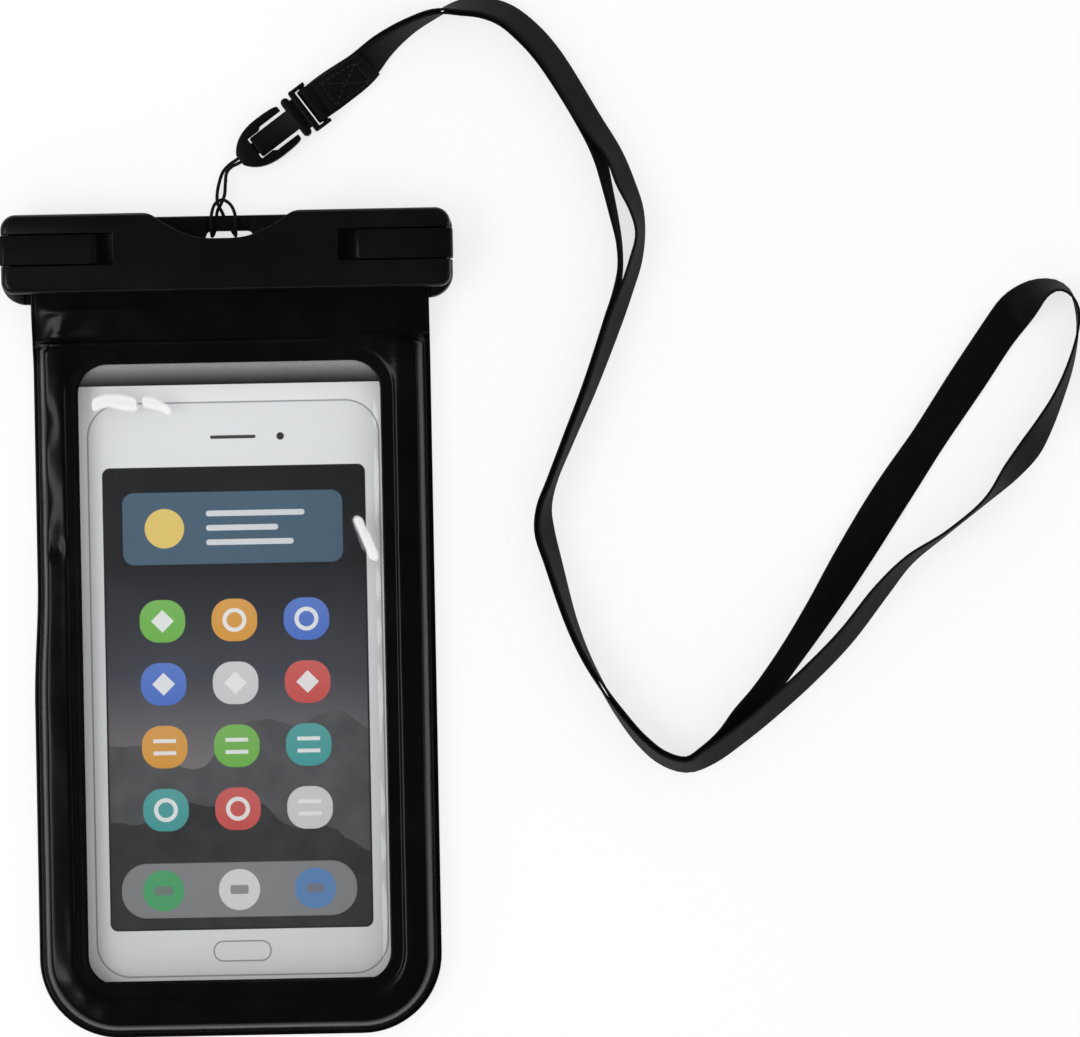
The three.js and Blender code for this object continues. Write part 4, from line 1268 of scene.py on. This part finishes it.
    def front_top(self, x: float, y: float) -> float:
        """Height of the front film's upper face.

        Args:
            x: the point's place across the pouch.
            y: the point's place along it.

        Returns:
            The height.
        """
        inset, outset = self.inset(x, y), self.outset(x, y)
        neck = smoothstep(y, *self.neck_range)
        crest = mix(self.puff_crest, self.neck_crest, neck)
        share = min(max((inset - self.flange) / (crest - self.flange), 0), 1)
        wall = math.sin(0.5 * math.pi * min(share / self.wall, 1))
        slope = mix(mix(self.level_share, self.slack_share, self.slack(x, y)), 1.0, neck)
        climb = mix(wall, math.sin(0.5 * math.pi * share), slope)
        fall = smoothstep(inset, self.puff_crest, self.puff_end)
        puff = self.puff_height * climb + (self.valley_height - self.puff_height) * fall
        band = 1 - smoothstep(outset, self.weld_band, self.weld_band + self.band_step)
        flat = 1 - self.rise(y) / self.jaw_rise
        height = mix(puff, self.band_height, band) * flat
        closed = self.rim_closing * (1 - smoothstep(inset, *self.rim_range)) * flat
        seam_y = self.neck_seam + self.seam_lift + self.seam_bend * smoothstep(x, *self.seam_range)
        seam = hump(y, seam_y, *self.seam_ridge)
        marks = hump(inset, *self.rim_groove) + band * (
            hump(outset, *self.band_bead) + hump(outset, *self.band_rib))
        return (self.rise(y) + self.front_lift + self.film + height - closed - self.dip(y)
                + seam + marks + self.ripple(x, y))

    def loop(self, inset: float) -> list[Pair]:
        """Points of one ring round the window, from the lower left corner anticlockwise.

        Args:
            inset: the ring's distance from the pouch's edge.

        Returns:
            The points, the same number on each ring.
        """
        share = inset / self.border
        outset = self.border - inset
        low = mix(self.bottom, self.window_low, share)
        lower = mix(self.corner, self.window_corner, share)
        half = self.half_width - inset
        if outset <= self.weld_band:
            high, upper = self.window_high + outset, self.window_corner + outset
        else:
            part = inset / (self.border - self.weld_band)
            high = mix(self.neck_seam, self.window_high + self.weld_band, part)
            upper = (self.window_corner + self.weld_band) * part
        side, end = self.even(self.side_steps), self.even(self.end_steps)
        points = self.arc(-half + lower, low + lower, lower, 180, self.corner_steps)
        points += self.run((-half + lower, low), (half - lower, low), end)
        points += self.arc(half - lower, low + lower, lower, 270, self.corner_steps)
        points += self.run((half, low + lower), (half, high - upper), side)
        points += self.arc(half - upper, high - upper, upper, 0, self.shoulder_steps)
        points += self.run((half - upper, high), (-half + upper, high), self.across())
        points += self.arc(-half + upper, high - upper, upper, 90, self.shoulder_steps)
        points += self.run((-half, high - upper), (-half, low + lower), side)
        return points

    @staticmethod
    def even(count: int) -> list[float]:
        """Even shares of a run, without its ends."""
        return [k / count for k in range(1, count)]

    def across(self) -> list[float]:
        """Shares of the run across the neck, fine at the pouch's sides.

        Returns:
            The shares, without the ends.
        """
        near = [inset / (2 * self.half_width) for inset in self.insets[1:self.neck_insets]]
        last = near[-1]
        middle = [mix(last, 1 - last, share) for share in self.even(self.neck_grid[0])]
        return near + middle + [1 - share for share in reversed(near)]

    @staticmethod
    def arc(cx: float, cy: float, radius: float, start: float, count: int) -> list[Pair]:
        """A quarter turn of points."""
        angles = [math.radians(start + 90 * k / count) for k in range(count + 1)]
        return [(cx + radius * math.cos(a), cy + radius * math.sin(a)) for a in angles]

    @staticmethod
    def run(start: Pair, end: Pair, shares: Sequence[float]) -> list[Pair]:
        """Points along a straight line."""
        return [(mix(start[0], end[0], f), mix(start[1], end[1], f)) for f in shares]

    @staticmethod
    def rounded_end(half: float, corner: float, count: int) -> list[Pair]:
        """Rows of a sheet's rounded end: distance from the end and half width."""
        arc = [math.radians(90 * k / count) for k in range(count + 1)]
        return [(corner * (1 - math.cos(a)), half - corner * (1 - math.sin(a))) for a in arc]

    def skin(self, name: str, weld: float,
             *grids: tuple[int, int, Place, Carried | None]) -> bpy.types.Object:
        """A sheet with its thickness, welded from grids.

        Args:
            name: the object's name.
            weld: distance in metres within which points merge.
            grids: columns, rows, place and carried values of each grid.

        Returns:
            The object.
        """
        mesh = bmesh.new()
        for columns, rows, place, carried in grids:
            lay_grid(mesh, columns, rows, place, carried)
        tidy(mesh, weld)
        made = finished(name, mesh)
        faces_out(made, upward=True)
        thicken(made, self.film * MM)
        return made

    def make_front(self) -> bpy.types.Object:
        """The black front film with its window cut out.

        Returns:
            The object.
        """
        loops = [self.loop(inset) for inset in self.insets]
        count = len(loops[0])
        columns = [0.0] + self.across() + [1.0]
        steps = self.neck_grid[1]
        rows = [mix(self.neck_seam, self.film_top, (k / steps) ** 1.5) for k in range(steps + 1)]

        def point(x: float, y: float) -> Vector:
            """A point of the film's upper face, in metres."""
            return Vector((self.drawn_in(x, y), y, self.front_top(x, y))) * MM

        def on_ring(i: int, j: int) -> Vector:
            """A point of the rings round the window."""
            return point(*loops[j][i % count])

        def on_neck(i: int, j: int) -> Vector:
            """A point of the neck."""
            return point(mix(self.half_width, -self.half_width, columns[i]), rows[j])

        return self.skin("front_film_skin", 4e-6, (count, len(loops) - 1, on_ring, None),
                         (len(columns) - 1, len(rows) - 1, on_neck, None))

    def make_back(self) -> bpy.types.Object:
        """The black back film, flat below and climbing along the neck.

        Returns:
            The object.
        """
        columns, steps = self.back_grid
        ends = self.rounded_end(self.half_width, self.corner, self.back_corner_steps)
        rows = [(self.bottom + y, width) for y, width in ends]
        straight = self.film_top - self.bottom - self.corner
        rows += [(self.bottom + self.corner + straight * k / steps, self.half_width)
                 for k in range(1, steps + 1)]

        def on_back(i: int, j: int) -> Vector:
            """A point of the film's upper face, in metres.

            Args:
                i: the column.
                j: the row.

            Returns:
                The point.
            """
            y, half = rows[j]
            x = mix(-half, half, i / columns)
            slack = smoothstep(self.inset(x, y), *self.back_edge) * (
                1 - smoothstep(y, *self.back_range))
            wave = self.back_waves.height + self.back_waves.at(x, y)
            neck = self.neck_waves.at(x, y) * between(y, *self.back_neck)
            z = self.film + self.rise(y) - self.dip(y) + slack * wave + neck
            return Vector((self.drawn_in(x, y), y, z)) * MM

        return self.skin("back_film_skin", 1e-6, (columns, len(rows) - 1, on_back, None))

    def window_height(self, x: float, y: float) -> float:
        """Height of the clear film, slack in the middle and creased near its corners.

        Args:
            x: the point's place across the pouch.
            y: the point's place along it.

        Returns:
            The height.
        """
        depth = -self.outset(x, y)
        sag = -self.window_sag * smoothstep(depth, *self.sag_range)
        wave = self.window_waves.at(x, y) * smoothstep(depth, *self.wave_range)
        creases = self.cross_crease.at(x, y) + sum(each.at(y, x) for each in self.long_creases)
        fine, broad = self.pleat_rates
        pleats = math.sin(y * fine + self.pleat_sway * math.sin(y * broad)) * (
            hump(abs(x), *self.pleat_mark))
        return self.window_top_z + (sag + wave + creases + pleats) * (
            smoothstep(depth, *self.window_edge))

    def crease(self, x: float, y: float) -> float:
        """How far a point of the clear film lies in the painted glare along its two creases, 0 to
        1.

        Args:
            x: the point's place across the pouch.
            y: the point's place along it.

        Returns:
            The share.
        """
        edge = self.crease_waves.at(x, y)
        line = (self.glare_line + self.glare_sway * math.sin(x * self.glare_rate)
                - self.glare_fall * max(x - self.glare_fork, 0.0))
        reach = (self.glare_reach - self.glare_narrower * smoothstep(x, *self.glare_narrowing)
                 + self.glare_raggedness * edge)
        upper = hump(y, line, reach) * between(x, *self.glare_ends)
        gap = 1 - hump(x, self.glare_fork - self.gap_lean * (y - self.gap_middle), self.gap_reach)
        side = self.side_glare - self.side_lean * (y - self.side_middle)
        right = hump(x, side, self.side_reach + edge) * between(y, *self.side_ends)
        return max(upper * gap, right)

    def make_window(self) -> bpy.types.Object:
        """The clear window film, lapped under the welded band.

        Returns:
            The object.
        """
        half = self.window_half + self.lap
        low, high = self.window_low - self.lap, self.window_high + self.lap
        corner = self.window_corner + self.lap
        columns, steps = self.window_grid
        ends = self.rounded_end(half, corner, self.window_corner_steps)
        straight = high - low - 2 * corner
        rows = [(low + y, width) for y, width in ends]
        rows += [(low + corner + straight * share, half) for share in self.even(steps)]
        rows += [(high - y, width) for y, width in reversed(ends)]

        def across(i: int, j: int) -> Pair:
            """Places across and along the film."""
            y, width = rows[j]
            return mix(-width, width, i / columns), y

        def on_window(i: int, j: int) -> Vector:
            """A point of the film's upper face, in metres."""
            x, y = across(i, j)
            return Vector((x, y, self.window_height(x, y))) * MM

        # The film carries the mask of its painted glare at its points.
        return self.skin("clear_window_skin", 1e-6, (columns, len(rows) - 1, on_window, {
            "crease": lambda i, j: self.crease(*across(i, j))}))

    def build(self) -> None:
        """Builds and dresses the films and the card."""
        black = SoftFilm().make()
        dress(self.make_front(), Body.POUCH, Slot.BLACK_FILM, black, ["front_frame"])
        dress(self.make_back(), Body.POUCH, Slot.BLACK_FILM, black, ["back_film"])
        dress(self.make_window(), Body.POUCH, Slot.CLEAR_FILM, ClearFilm().make(),
              ["window_film"])
        dress_node("display_card", CardPrint().make())


# Clamp


@dataclass
class Clamp:
    """The two bars, the latches and their pins, with softened edges."""

    bar_edge: float = 0.28
    latch_edge: float = 0.34

    def build(self) -> None:
        """Builds and dresses the clamp."""
        bars = MouldedPlastic("clamp_plastic").make()
        levers = MouldedPlastic("latch_plastic", roughness=0.3, gloss=0.12, grain=3100.0).make()
        for node, name in (("rear_clamp_bar", "rear_bar_moulding"),
                           ("front_clamp_bar", "front_bar_moulding")):
            dress(softened(node, name, self.bar_edge * MM), Body.POUCH, Slot.PLASTIC, bars,
                  [node])
        for body in (Body.LATCH_LEFT, Body.LATCH_RIGHT):
            lever = softened(body.value, body.value + "_moulding", self.latch_edge * MM)
            dress(lever, body, Slot.PLASTIC, levers, [body.value])
        wire = DrawnWire().make()
        for node in ("latch_pin_left", "latch_pin_right"):
            dress_node(node, wire)


# Cords


@dataclass
class ClipPlace:
    """Where the clip lies, in millimetres and degrees."""

    tip: Pair = (3.8, 122.2)
    turn: float = 36.3
    bar_along: float = 24.5
    bar_z: float = 1.95
    mid_z: float = 2.3

    def axis(self) -> Vector:
        """The clip's direction, from the string to the strap."""
        angle = math.radians(self.turn)
        return Vector((math.cos(angle), math.sin(angle), 0.0))

    def point(self, along: float, across: float, z: float) -> Vector:
        """A point of the clip's own frame, in millimetres.

        Args:
            along: place along the clip, from its tip.
            across: place across it.
            z: height over the ground.

        Returns:
            The point in the shared frame.
        """
        axis = self.axis()
        side = UP.cross(axis)
        return Vector((*self.tip, 0.0)) + axis * along + side * across + UP * z


@dataclass
class StringHitch:
    """The thin cord hitched round the bar's rail and held in the clip."""

    clip: ClipPlace
    radius: float = 0.45
    sides: int = 10
    step: float = 0.35
    socket: float = 1.1
    apart: float = 0.63
    route: Sequence[Point] = (
        (2.8, 122.3, 2.1), (1.1, 121.2, 1.7), (-0.7, 119.3, 1.5), (-1.8, 116.4, 1.3),
        (-2.4, 113.3, 1.1), (-2.3, 110.9, 1.0), (-1.3, 108.9, 0.85), (-0.5, 107.0, 0.85),
        (0.3, 105.3, 0.85), (1.6, 103.4, 1.05), (2.4, 102.3, 3.45), (2.5, 103.5, 6.05),
        (2.5, 105.6, 6.25), (2.3, 108.2, 5.95), (1.1, 110.6, 5.2), (-0.9, 111.8, 4.6),
        (-2.7, 110.9, 5.0), (-3.7, 108.4, 5.95), (-3.9, 105.6, 6.25), (-3.9, 103.5, 6.05),
        (-3.8, 102.3, 3.45), (-3.3, 103.4, 1.05), (-2.7, 105.6, 0.85), (-2.6, 108.2, 1.1),
        (-2.1, 109.6, 1.9), (-1.2, 111.1, 2.5), (-0.4, 113.2, 2.4), (-0.1, 116.4, 2.4),
        (0.3, 119.0, 2.6), (1.6, 120.5, 2.7), (3.4, 121.4, 2.4))

    def build(self) -> None:
        """Builds and dresses the cord and logs its length."""
        ends = [self.clip.point(self.socket, side * self.apart, self.clip.mid_z)
                for side in (1, -1)]
        knots = [tuple(ends[0]), *self.route, tuple(ends[1])]
        line = [Vector(p) for p in spline(knots, self.step, flat=False)]
        made = tube("string_braid", line, self.radius, self.sides)
        path = [p * MM for p in line]
        length = travelled_along(path)[-1]
        dress(made, Body.POUCH, Slot.CORD, BraidedCord().make(), ["clip_string"])
        LOG.info("string of %.3f m", length)


def tube(name: str, line: Sequence[Vector], radius: float, sides: int) -> bpy.types.Object:
    """A closed round tube along a line in millimetres, with along and around at its points.

    Args:
        name: the object's name.
        line: its middle line.
        radius: its radius.
        sides: faces round it.

    Returns:
        The object.
    """
    tangents = [(line[min(k + 1, len(line) - 1)] - line[max(k - 1, 0)]).normalized()
                for k in range(len(line))]
    across = tangents[0].orthogonal().normalized()
    travelled = travelled_along(line)
    frames = []
    for tangent in tangents:
        across = (across - tangent * across.dot(tangent)).normalized()
        frames.append((across.copy(), tangent.cross(across)))

    def on_tube(i: int, j: int) -> Vector:
        """A point of the tube's wall, in metres.

        Args:
            i: the column.
            j: the row.

        Returns:
            The point.
        """
        angle = 2 * math.pi * (i % sides) / sides
        side, lift = frames[j]
        return (line[j] + (side * math.cos(angle) + lift * math.sin(angle)) * radius) * MM

    made = mapped_grid(name, sides, len(line) - 1, on_tube, {
        "along": lambda i, j: travelled[j], "around": lambda i, j: (i % sides) / sides})
    faces_out(made)
    return made


@dataclass
class Station:
    """One cross-section of the strap, in millimetres."""

    place: Vector
    width: Vector
    face: Vector


@dataclass
class NeckStrap:
    """The flat strap: one closed band, built as an outgoing and a returning strand."""

    clip: ClipPlace
    width: float = 10.2
    thickness: float = 0.7
    ply_gap: float = 0.3
    floor_gap: float = 0.1
    loop_radius: float = 1.5
    step: float = 1.8
    near_spread: float = 1.25
    turn_step: int = 18
    tail_length: float = 17.0
    tail_gap: float = 0.06
    tail_narrow: float = 0.985
    tail_weave: float = 300.0
    stitch_pitch: float = 1.55
    stitch_share: Pair = (0.14, 0.86)
    stitch_half: Pair = (0.19, 0.17)
    stitch_margins: Point = (4.6, 1.6, 1.5)
    far_turn: Pair = (223.6, 76.0)
    near: Sequence[Point] = (
        (29.7, 141.1, 20), (35.9, 145.5, 38), (42.3, 151.7, 60), (49.3, 156.6, 76),
        (56.2, 159.8, 88), (62.6, 161.1, 110), (68.6, 161, 119), (74.4, 159, 124),
        (80.1, 154.4, 127), (85.8, 147.7, 127), (96.3, 130.1, 126))
    apart_right: Sequence[Point] = (
        (102.3, 121.8, 118), (105.2, 114.4, 119), (108, 107.2, 111), (108.9, 100.6, 103),
        (107.5, 93.5, 108), (105.2, 86.7, 109))
    apart_left: Sequence[Point] = (
        (98.7, 121, 110), (100.7, 112.1, 104), (102.1, 105.4, 101), (103.3, 98.6, 97),
        (103.5, 92, 96), (102.6, 86.4, 99))
    far: Sequence[Point] = (
        (101.9, 79.6, 112), (95, 61.2, 105), (88.9, 46.9, 100), (84.2, 35.6, 98), (82.2, 29, 106),
        (82.2, 23, 114), (84.3, 14.7, 110), (88.8, -1.2, 101), (92.5, -10.5, 96),
        (96.9, -18.7, 90), (101.2, -25.4, 84), (106.6, -32.4, 79), (112.3, -37.3, 75),
        (118.6, -39.2, 71), (124.2, -36.7, 62))
    wide: Sequence[Point] = (
        (129.1, -32.3, 56), (133.6, -27.1, 50), (138.8, -21.1, 51), (146.9, -10.2, 48),
        (154.8, 1.3, 37), (162.8, 13.8, 20), (172.9, 29.4, 8), (183.6, 45, 24), (194.4, 60.7, 14),
        (204.8, 75.5, 10), (209.9, 81.2, -28), (214.2, 84.3, -57), (218.4, 85, -74),
        (221.7, 83.1, -83), (223.6, 78.6, -90), (223.6, 73.3, -87), (221.7, 64.9, -80),
        (218.1, 55.7, -72), (214, 47.9, -60), (210.5, 42.4, -53), (205.3, 36.2, -61),
        (198.6, 28.9, -82), (187.9, 20.4, -85), (178, 13.5, -75), (170.7, 5.7, -65),
        (161, -6.3, -62), (151.5, -15.8, -61), (142.4, -23.8, -61), (133.3, -31.1, -62))

    def route(self) -> list[list[float]]:
        """The strap's way out and home: x, y, tilt and ply offset.

        Returns:
            The points.
        """
        ply = (self.thickness + self.ply_gap) / 2
        bar = self.clip.point(self.clip.bar_along, 0.0, 0.0)

        def out(points: Sequence[Point], layer: float) -> list[list[float]]:
            """Route points on the way out."""
            return [[*p, layer] for p in points]

        def home(points: Sequence[Point], layer: float) -> list[list[float]]:
            """Route points on the way home."""
            return [[x, y, -tilt, layer] for x, y, tilt in reversed(points)]

        wide = self.near_spread * ply
        return ([[bar.x, bar.y, 0.0, -self.loop_radius]] + out(self.near[:1], -wide)
                + out(self.near[1:], -ply) + out(self.apart_right, 0.0) + out(self.far, -ply)
                + out(self.wide, 0.0) + home(self.far, ply) + home(self.apart_left, 0.0)
                + home(self.near[1:], ply) + home(self.near[:1], wide)
                + [[bar.x, bar.y, 0.0, self.loop_radius]])

    def stations(self) -> list[Station]:
        """Cross-sections along the route, without the turn round the clip's bar.

        Returns:
            The cross-sections.
        """
        points = spline(self.route(), self.step, flat=True)
        result = []
        for k, (x, y, tilt, layer) in enumerate(points):
            before, after = points[max(k - 1, 0)], points[min(k + 1, len(points) - 1)]
            tangent = Vector((after[0] - before[0], after[1] - before[1], 0.0)).normalized()
            if k in (0, len(points) - 1):
                tangent = self.clip.axis() * (1 if k == 0 else -1)
            angle = math.radians(tilt)
            width = UP.cross(tangent) * math.cos(angle) + UP * math.sin(angle)
            face = tangent.cross(width)
            lean = abs(math.sin(angle)) * self.width / 2
            flat = abs(math.cos(angle)) * (self.thickness / 2 + abs(layer))
            place = Vector((x, y, self.floor_gap + lean + flat)) + face * layer
            result.append(Station(place, width, face))
        return result

    def bar_turn(self, width: Vector) -> list[Station]:
        """The strap's turn round the clip's bar, from the upper ply to the lower one.

        Args:
            width: the strap's width direction at the bar.

        Returns:
            The cross-sections, without the first and the last.
        """
        centre = self.clip.point(self.clip.bar_along, 0.0, self.clip.bar_z)
        result = []
        for degrees in range(self.turn_step, 180, self.turn_step):
            angle = math.radians(90 + degrees)
            face = self.clip.axis() * math.cos(angle) + UP * math.sin(angle)
            result.append(Station(centre + face * self.loop_radius, width.copy(), face))
        return result

    def section(self) -> list[Pair]:
        """The strap's cross-section: flat faces and round edges.

        Returns:
            The points, anticlockwise.
        """
        w, t = self.width / 2, self.thickness / 2
        edge = [(math.cos(a) * t, math.sin(a) * t)
                for a in (math.radians(-90 + 36 * k) for k in range(6))]
        right = [(w - t + x, y) for x, y in edge]
        top = [(f * (w - t), t) for f in (0.6, 0.2, -0.2, -0.6)]
        return right + top + [(-x, -y) for x, y in right] + [(-x, -y) for x, y in top]

    def ribbon(self, name: str, stations: Sequence[Station], start: float,
               lift: float = 0.0, narrow: float = 1.0) -> bpy.types.Object:
        """A closed ribbon through cross-sections.

        Args:
            name: the object's name.
            stations: the cross-sections.
            start: distance travelled at the first one.
            lift: offset along the face.
            narrow: share of the strap's width.

        Returns:
            The object.
        """
        section = self.section()
        count = len(section)
        travelled = travelled_along([station.place for station in stations], start)

        def on_ribbon(i: int, j: int) -> Vector:
            """A point of the ribbon's wall, in metres.

            Args:
                i: the column.
                j: the row.

            Returns:
                The point.
            """
            u, v = section[i % count]
            station = stations[j]
            return (station.place + station.width * (u * narrow)
                    + station.face * (v + lift)) * MM

        made = mapped_grid(name, count, len(stations) - 1, on_ribbon, {
            "along": lambda i, j: travelled[j], "across": lambda i, j: section[i % count][0]})
        faces_out(made)
        return made

    def declare(self, made: bpy.types.Object, stations: Sequence[Station]) -> None:
        """Logs a strand's length.

        Args:
            made: the strand's object.
            stations: its cross-sections.
        """
        path = [station.place * MM for station in stations]
        length = travelled_along(path)[-1]
        tuple(path[0])
        self.width * MM
        [tuple(p) for p in path]
        LOG.info("%s of %.3f m", made.name, length)

    def stitches(self, stations: Sequence[Station], lift: float) -> bpy.types.Object:
        """A sewn rectangle with a cross: short threads that dip into the ribbon.

        Args:
            stations: the cross-sections under the seam.
            lift: the sewn face's offset from them.

        Returns:
            The object.
        """
        travelled = travelled_along([station.place for station in stations])

        def surface(along: float, across: float) -> tuple[Vector, Vector]:
            """A place on the sewn face.

            Args:
                along: distance from the tail's end.
                across: distance from the strap's middle.

            Returns:
                The point and the direction that the face looks in.
            """
            at = next(k for k in range(len(travelled) - 1)
                      if travelled[k + 1] >= along or k == len(travelled) - 2)
            part = (along - travelled[at]) / (travelled[at + 1] - travelled[at])
            a, b = stations[at], stations[at + 1]
            width, face = a.width.lerp(b.width, part), a.face.lerp(b.face, part)
            return a.place.lerp(b.place, part) + width * across + face * lift, face

        near, end, edge = self.stitch_margins
        low, high, side = near, self.tail_length - end, self.width / 2 - edge
        lines = [((low, -side), (high, -side)), ((low, side), (high, side)),
                 ((low, -side), (low, side)), ((high, -side), (high, side)),
                 ((low, -side), (high, side)), ((low, side), (high, -side))]
        mesh = bmesh.new()
        for (a0, c0), (a1, c1) in lines:
            count = max(round(math.hypot(a1 - a0, c1 - c0) / self.stitch_pitch), 2)
            for k in range(count):
                f0, f1 = [(k + share) / count for share in self.stitch_share]
                start, face = surface(mix(a0, a1, f0), mix(c0, c1, f0))
                reach = surface(mix(a0, a1, f1), mix(c0, c1, f1))[0] - start
                up = face.normalized()
                cross = up.cross(reach).normalized()
                made = bmesh.ops.create_uvsphere(mesh, u_segments=8, v_segments=5, radius=1.0)
                for vert in made["verts"]:
                    x, y, z = vert.co
                    vert.co = (start + reach * (0.5 + 0.5 * z) + cross * (self.stitch_half[0] * x)
                               + up * (self.stitch_half[1] * y)) * MM
        made = finished("strap_stitches", mesh)
        faces_out(made)
        return made

    def build(self) -> None:
        """Builds the two strands, the sewn tail and its stitches."""
        satin = SatinRibbon().make()
        stations = self.stations()
        far = Vector((*self.far_turn, 0.0))
        split = min(range(len(stations)), key=lambda k: (
            Vector((*stations[k].place.xy, 0.0)) - far).length)
        first = stations[0]
        closing = Station(first.place, -first.width, -first.face)
        out = stations[:split + 1]
        home = stations[split:] + self.bar_turn(stations[-1].width) + [closing]
        travelled = travelled_along([station.place for station in out])[-1]
        strand_out = self.ribbon("strap_outgoing", out, 0.0)
        strand_home = self.ribbon("strap_returning", home, travelled)
        dress(strand_out, Body.LANYARD, Slot.STRAP, satin, ["lanyard_strap"])
        dress(strand_home, Body.LANYARD, Slot.STRAP, satin, ["lanyard_strap"])
        ending = list(reversed(stations))
        gone = travelled_along([station.place for station in ending])
        keep = 1 + next(k for k, length in enumerate(gone) if length >= self.tail_length)
        lift = self.thickness + self.tail_gap
        tail = self.ribbon("strap_tail", ending[1:keep], self.tail_weave, lift, self.tail_narrow)
        dress(tail, Body.LANYARD, Slot.STRAP, satin)
        sewn = self.stitches(ending[:keep + 1], lift + self.thickness / 2)
        dress(sewn, Body.LANYARD, Slot.STRAP, SewingThread().make())
        self.declare(strand_out, out)
        self.declare(strand_home, home)


@dataclass
class Clip:
    """The quick-release clip, with softened edges."""

    edge: float = 0.16

    def build(self) -> None:
        """Builds and dresses the clip's halves."""
        plastic = MouldedPlastic("clip_plastic", roughness=0.38, gloss=0.1, grain=2300.0).make()
        for node, body in (("clip_arm_half", Body.POUCH), ("clip_sleeve_half", Body.LANYARD)):
            dress(softened(node, node + "_moulding", self.edge * MM, 2), body, Slot.PLASTIC,
                  plastic, [node])


# Studio


@dataclass
class Studio:
    """Pale floor, soft lamps and the camera straight above."""

    aim: Pair = (81.1, 26.3)
    distance: float = 2000.0
    view_width: float = 285.0
    roll: float = 1.1
    floor_size: float = 6.0
    floor_gap: float = 0.2
    fill: float = 0.9
    horizon: Pair = (0.04, 0.16)
    ceiling: float = 0.035
    lamps: Sequence[tuple[str, Point, float, float, float]] = (
        ("lamp_left", (-420.0, -60.0, 560.0), 460.0, 320.0, 3.4),
        ("lamp_right", (880.0, 0.0, 270.0), 300.0, 150.0, 1.4),
        ("lamp_near", (60.0, -900.0, 330.0), 700.0, 120.0, 0.3),
    )

    def floor(self) -> None:
        """The floor that the pouch lies on."""
        mesh = bmesh.new()
        bmesh.ops.create_grid(mesh, x_segments=8, y_segments=8, size=self.floor_size / 2)
        bmesh.ops.translate(mesh, verts=mesh.verts, vec=UP * (-self.floor_gap * MM))
        made = finished("studio_floor", mesh)
        made.data.materials.append(PaleFloor().make())

    def light(self) -> None:
        """Soft lamps round the pouch."""
        target = Vector((*self.aim, 0.0)) * MM
        for name, place, width, height, radiance in self.lamps:
            data = bpy.data.lights.new(name, "AREA")
            data.shape = "RECTANGLE"
            data.size, data.size_y = width * MM, height * MM
            data.energy = radiance * math.pi * data.size * data.size_y
            lamp = bpy.data.objects.new(name, data)
            lamp.location = Vector(place) * MM
            lamp.rotation_euler = (target - lamp.location).to_track_quat("-Z", "Y").to_euler()
            bpy.context.scene.collection.objects.link(lamp)

    def surround(self) -> None:
        """A pale surround; the camera and reflections see it with a dim ceiling."""
        shader = Shader("pale_surround", world=True)
        rays = shader.node("ShaderNodeLightPath").outputs
        source = shader.node("ShaderNodeTexCoord").outputs["Generated"]
        height = shader.node("ShaderNodeSeparateXYZ", None, {0: source}).outputs["Z"]
        level = shader.node("ShaderNodeMapRange", None, {
            "Value": height, "From Min": self.horizon[0], "From Max": self.horizon[1],
            "To Min": 1.0, "To Max": self.ceiling}).outputs["Result"]
        glossy = Signal(shader, rays["Is Glossy Ray"]).at_least(rays["Is Transmission Ray"])
        seen = Signal(shader, rays["Is Camera Ray"]).at_least(glossy)
        fill, shown = [shader.node("ShaderNodeBackground", None, {
            "Color": WHITE, "Strength": strength}).outputs[0] for strength in (self.fill, level)]
        bpy.context.scene.world = shader.finish(shader.mixed(seen, fill, shown))

    def camera(self) -> None:
        """The camera, straight down, turned a little to the photograph's lean."""
        data = bpy.data.cameras.new("camera")
        data.sensor_fit = "HORIZONTAL"
        data.angle = 2 * math.atan(self.view_width / 2 / self.distance)
        data.clip_start, data.clip_end = 0.01, 20.0
        made = bpy.data.objects.new("camera", data)
        made.location = Vector((*self.aim, self.distance)) * MM
        made.rotation_euler = Euler((0.0, 0.0, -math.radians(self.roll)))
        bpy.context.scene.collection.objects.link(made)
        bpy.context.scene.camera = made

    def build(self) -> None:
        """Builds the studio."""
        self.floor()
        self.light()
        self.surround()
        self.camera()
        bpy.context.scene.view_settings.view_transform = "Standard"


def main() -> None:
    """Builds the pouch's visible pieces and the studio."""
    logging.basicConfig(level=logging.INFO, format="%(message)s")
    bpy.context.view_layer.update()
    clip = ClipPlace()
    for builder in (Studio(), PouchFilms(), Clamp(), StringHitch(clip), Clip(), NeckStrap(clip)):
        builder.build()


if __name__ == "__main__":
    main()
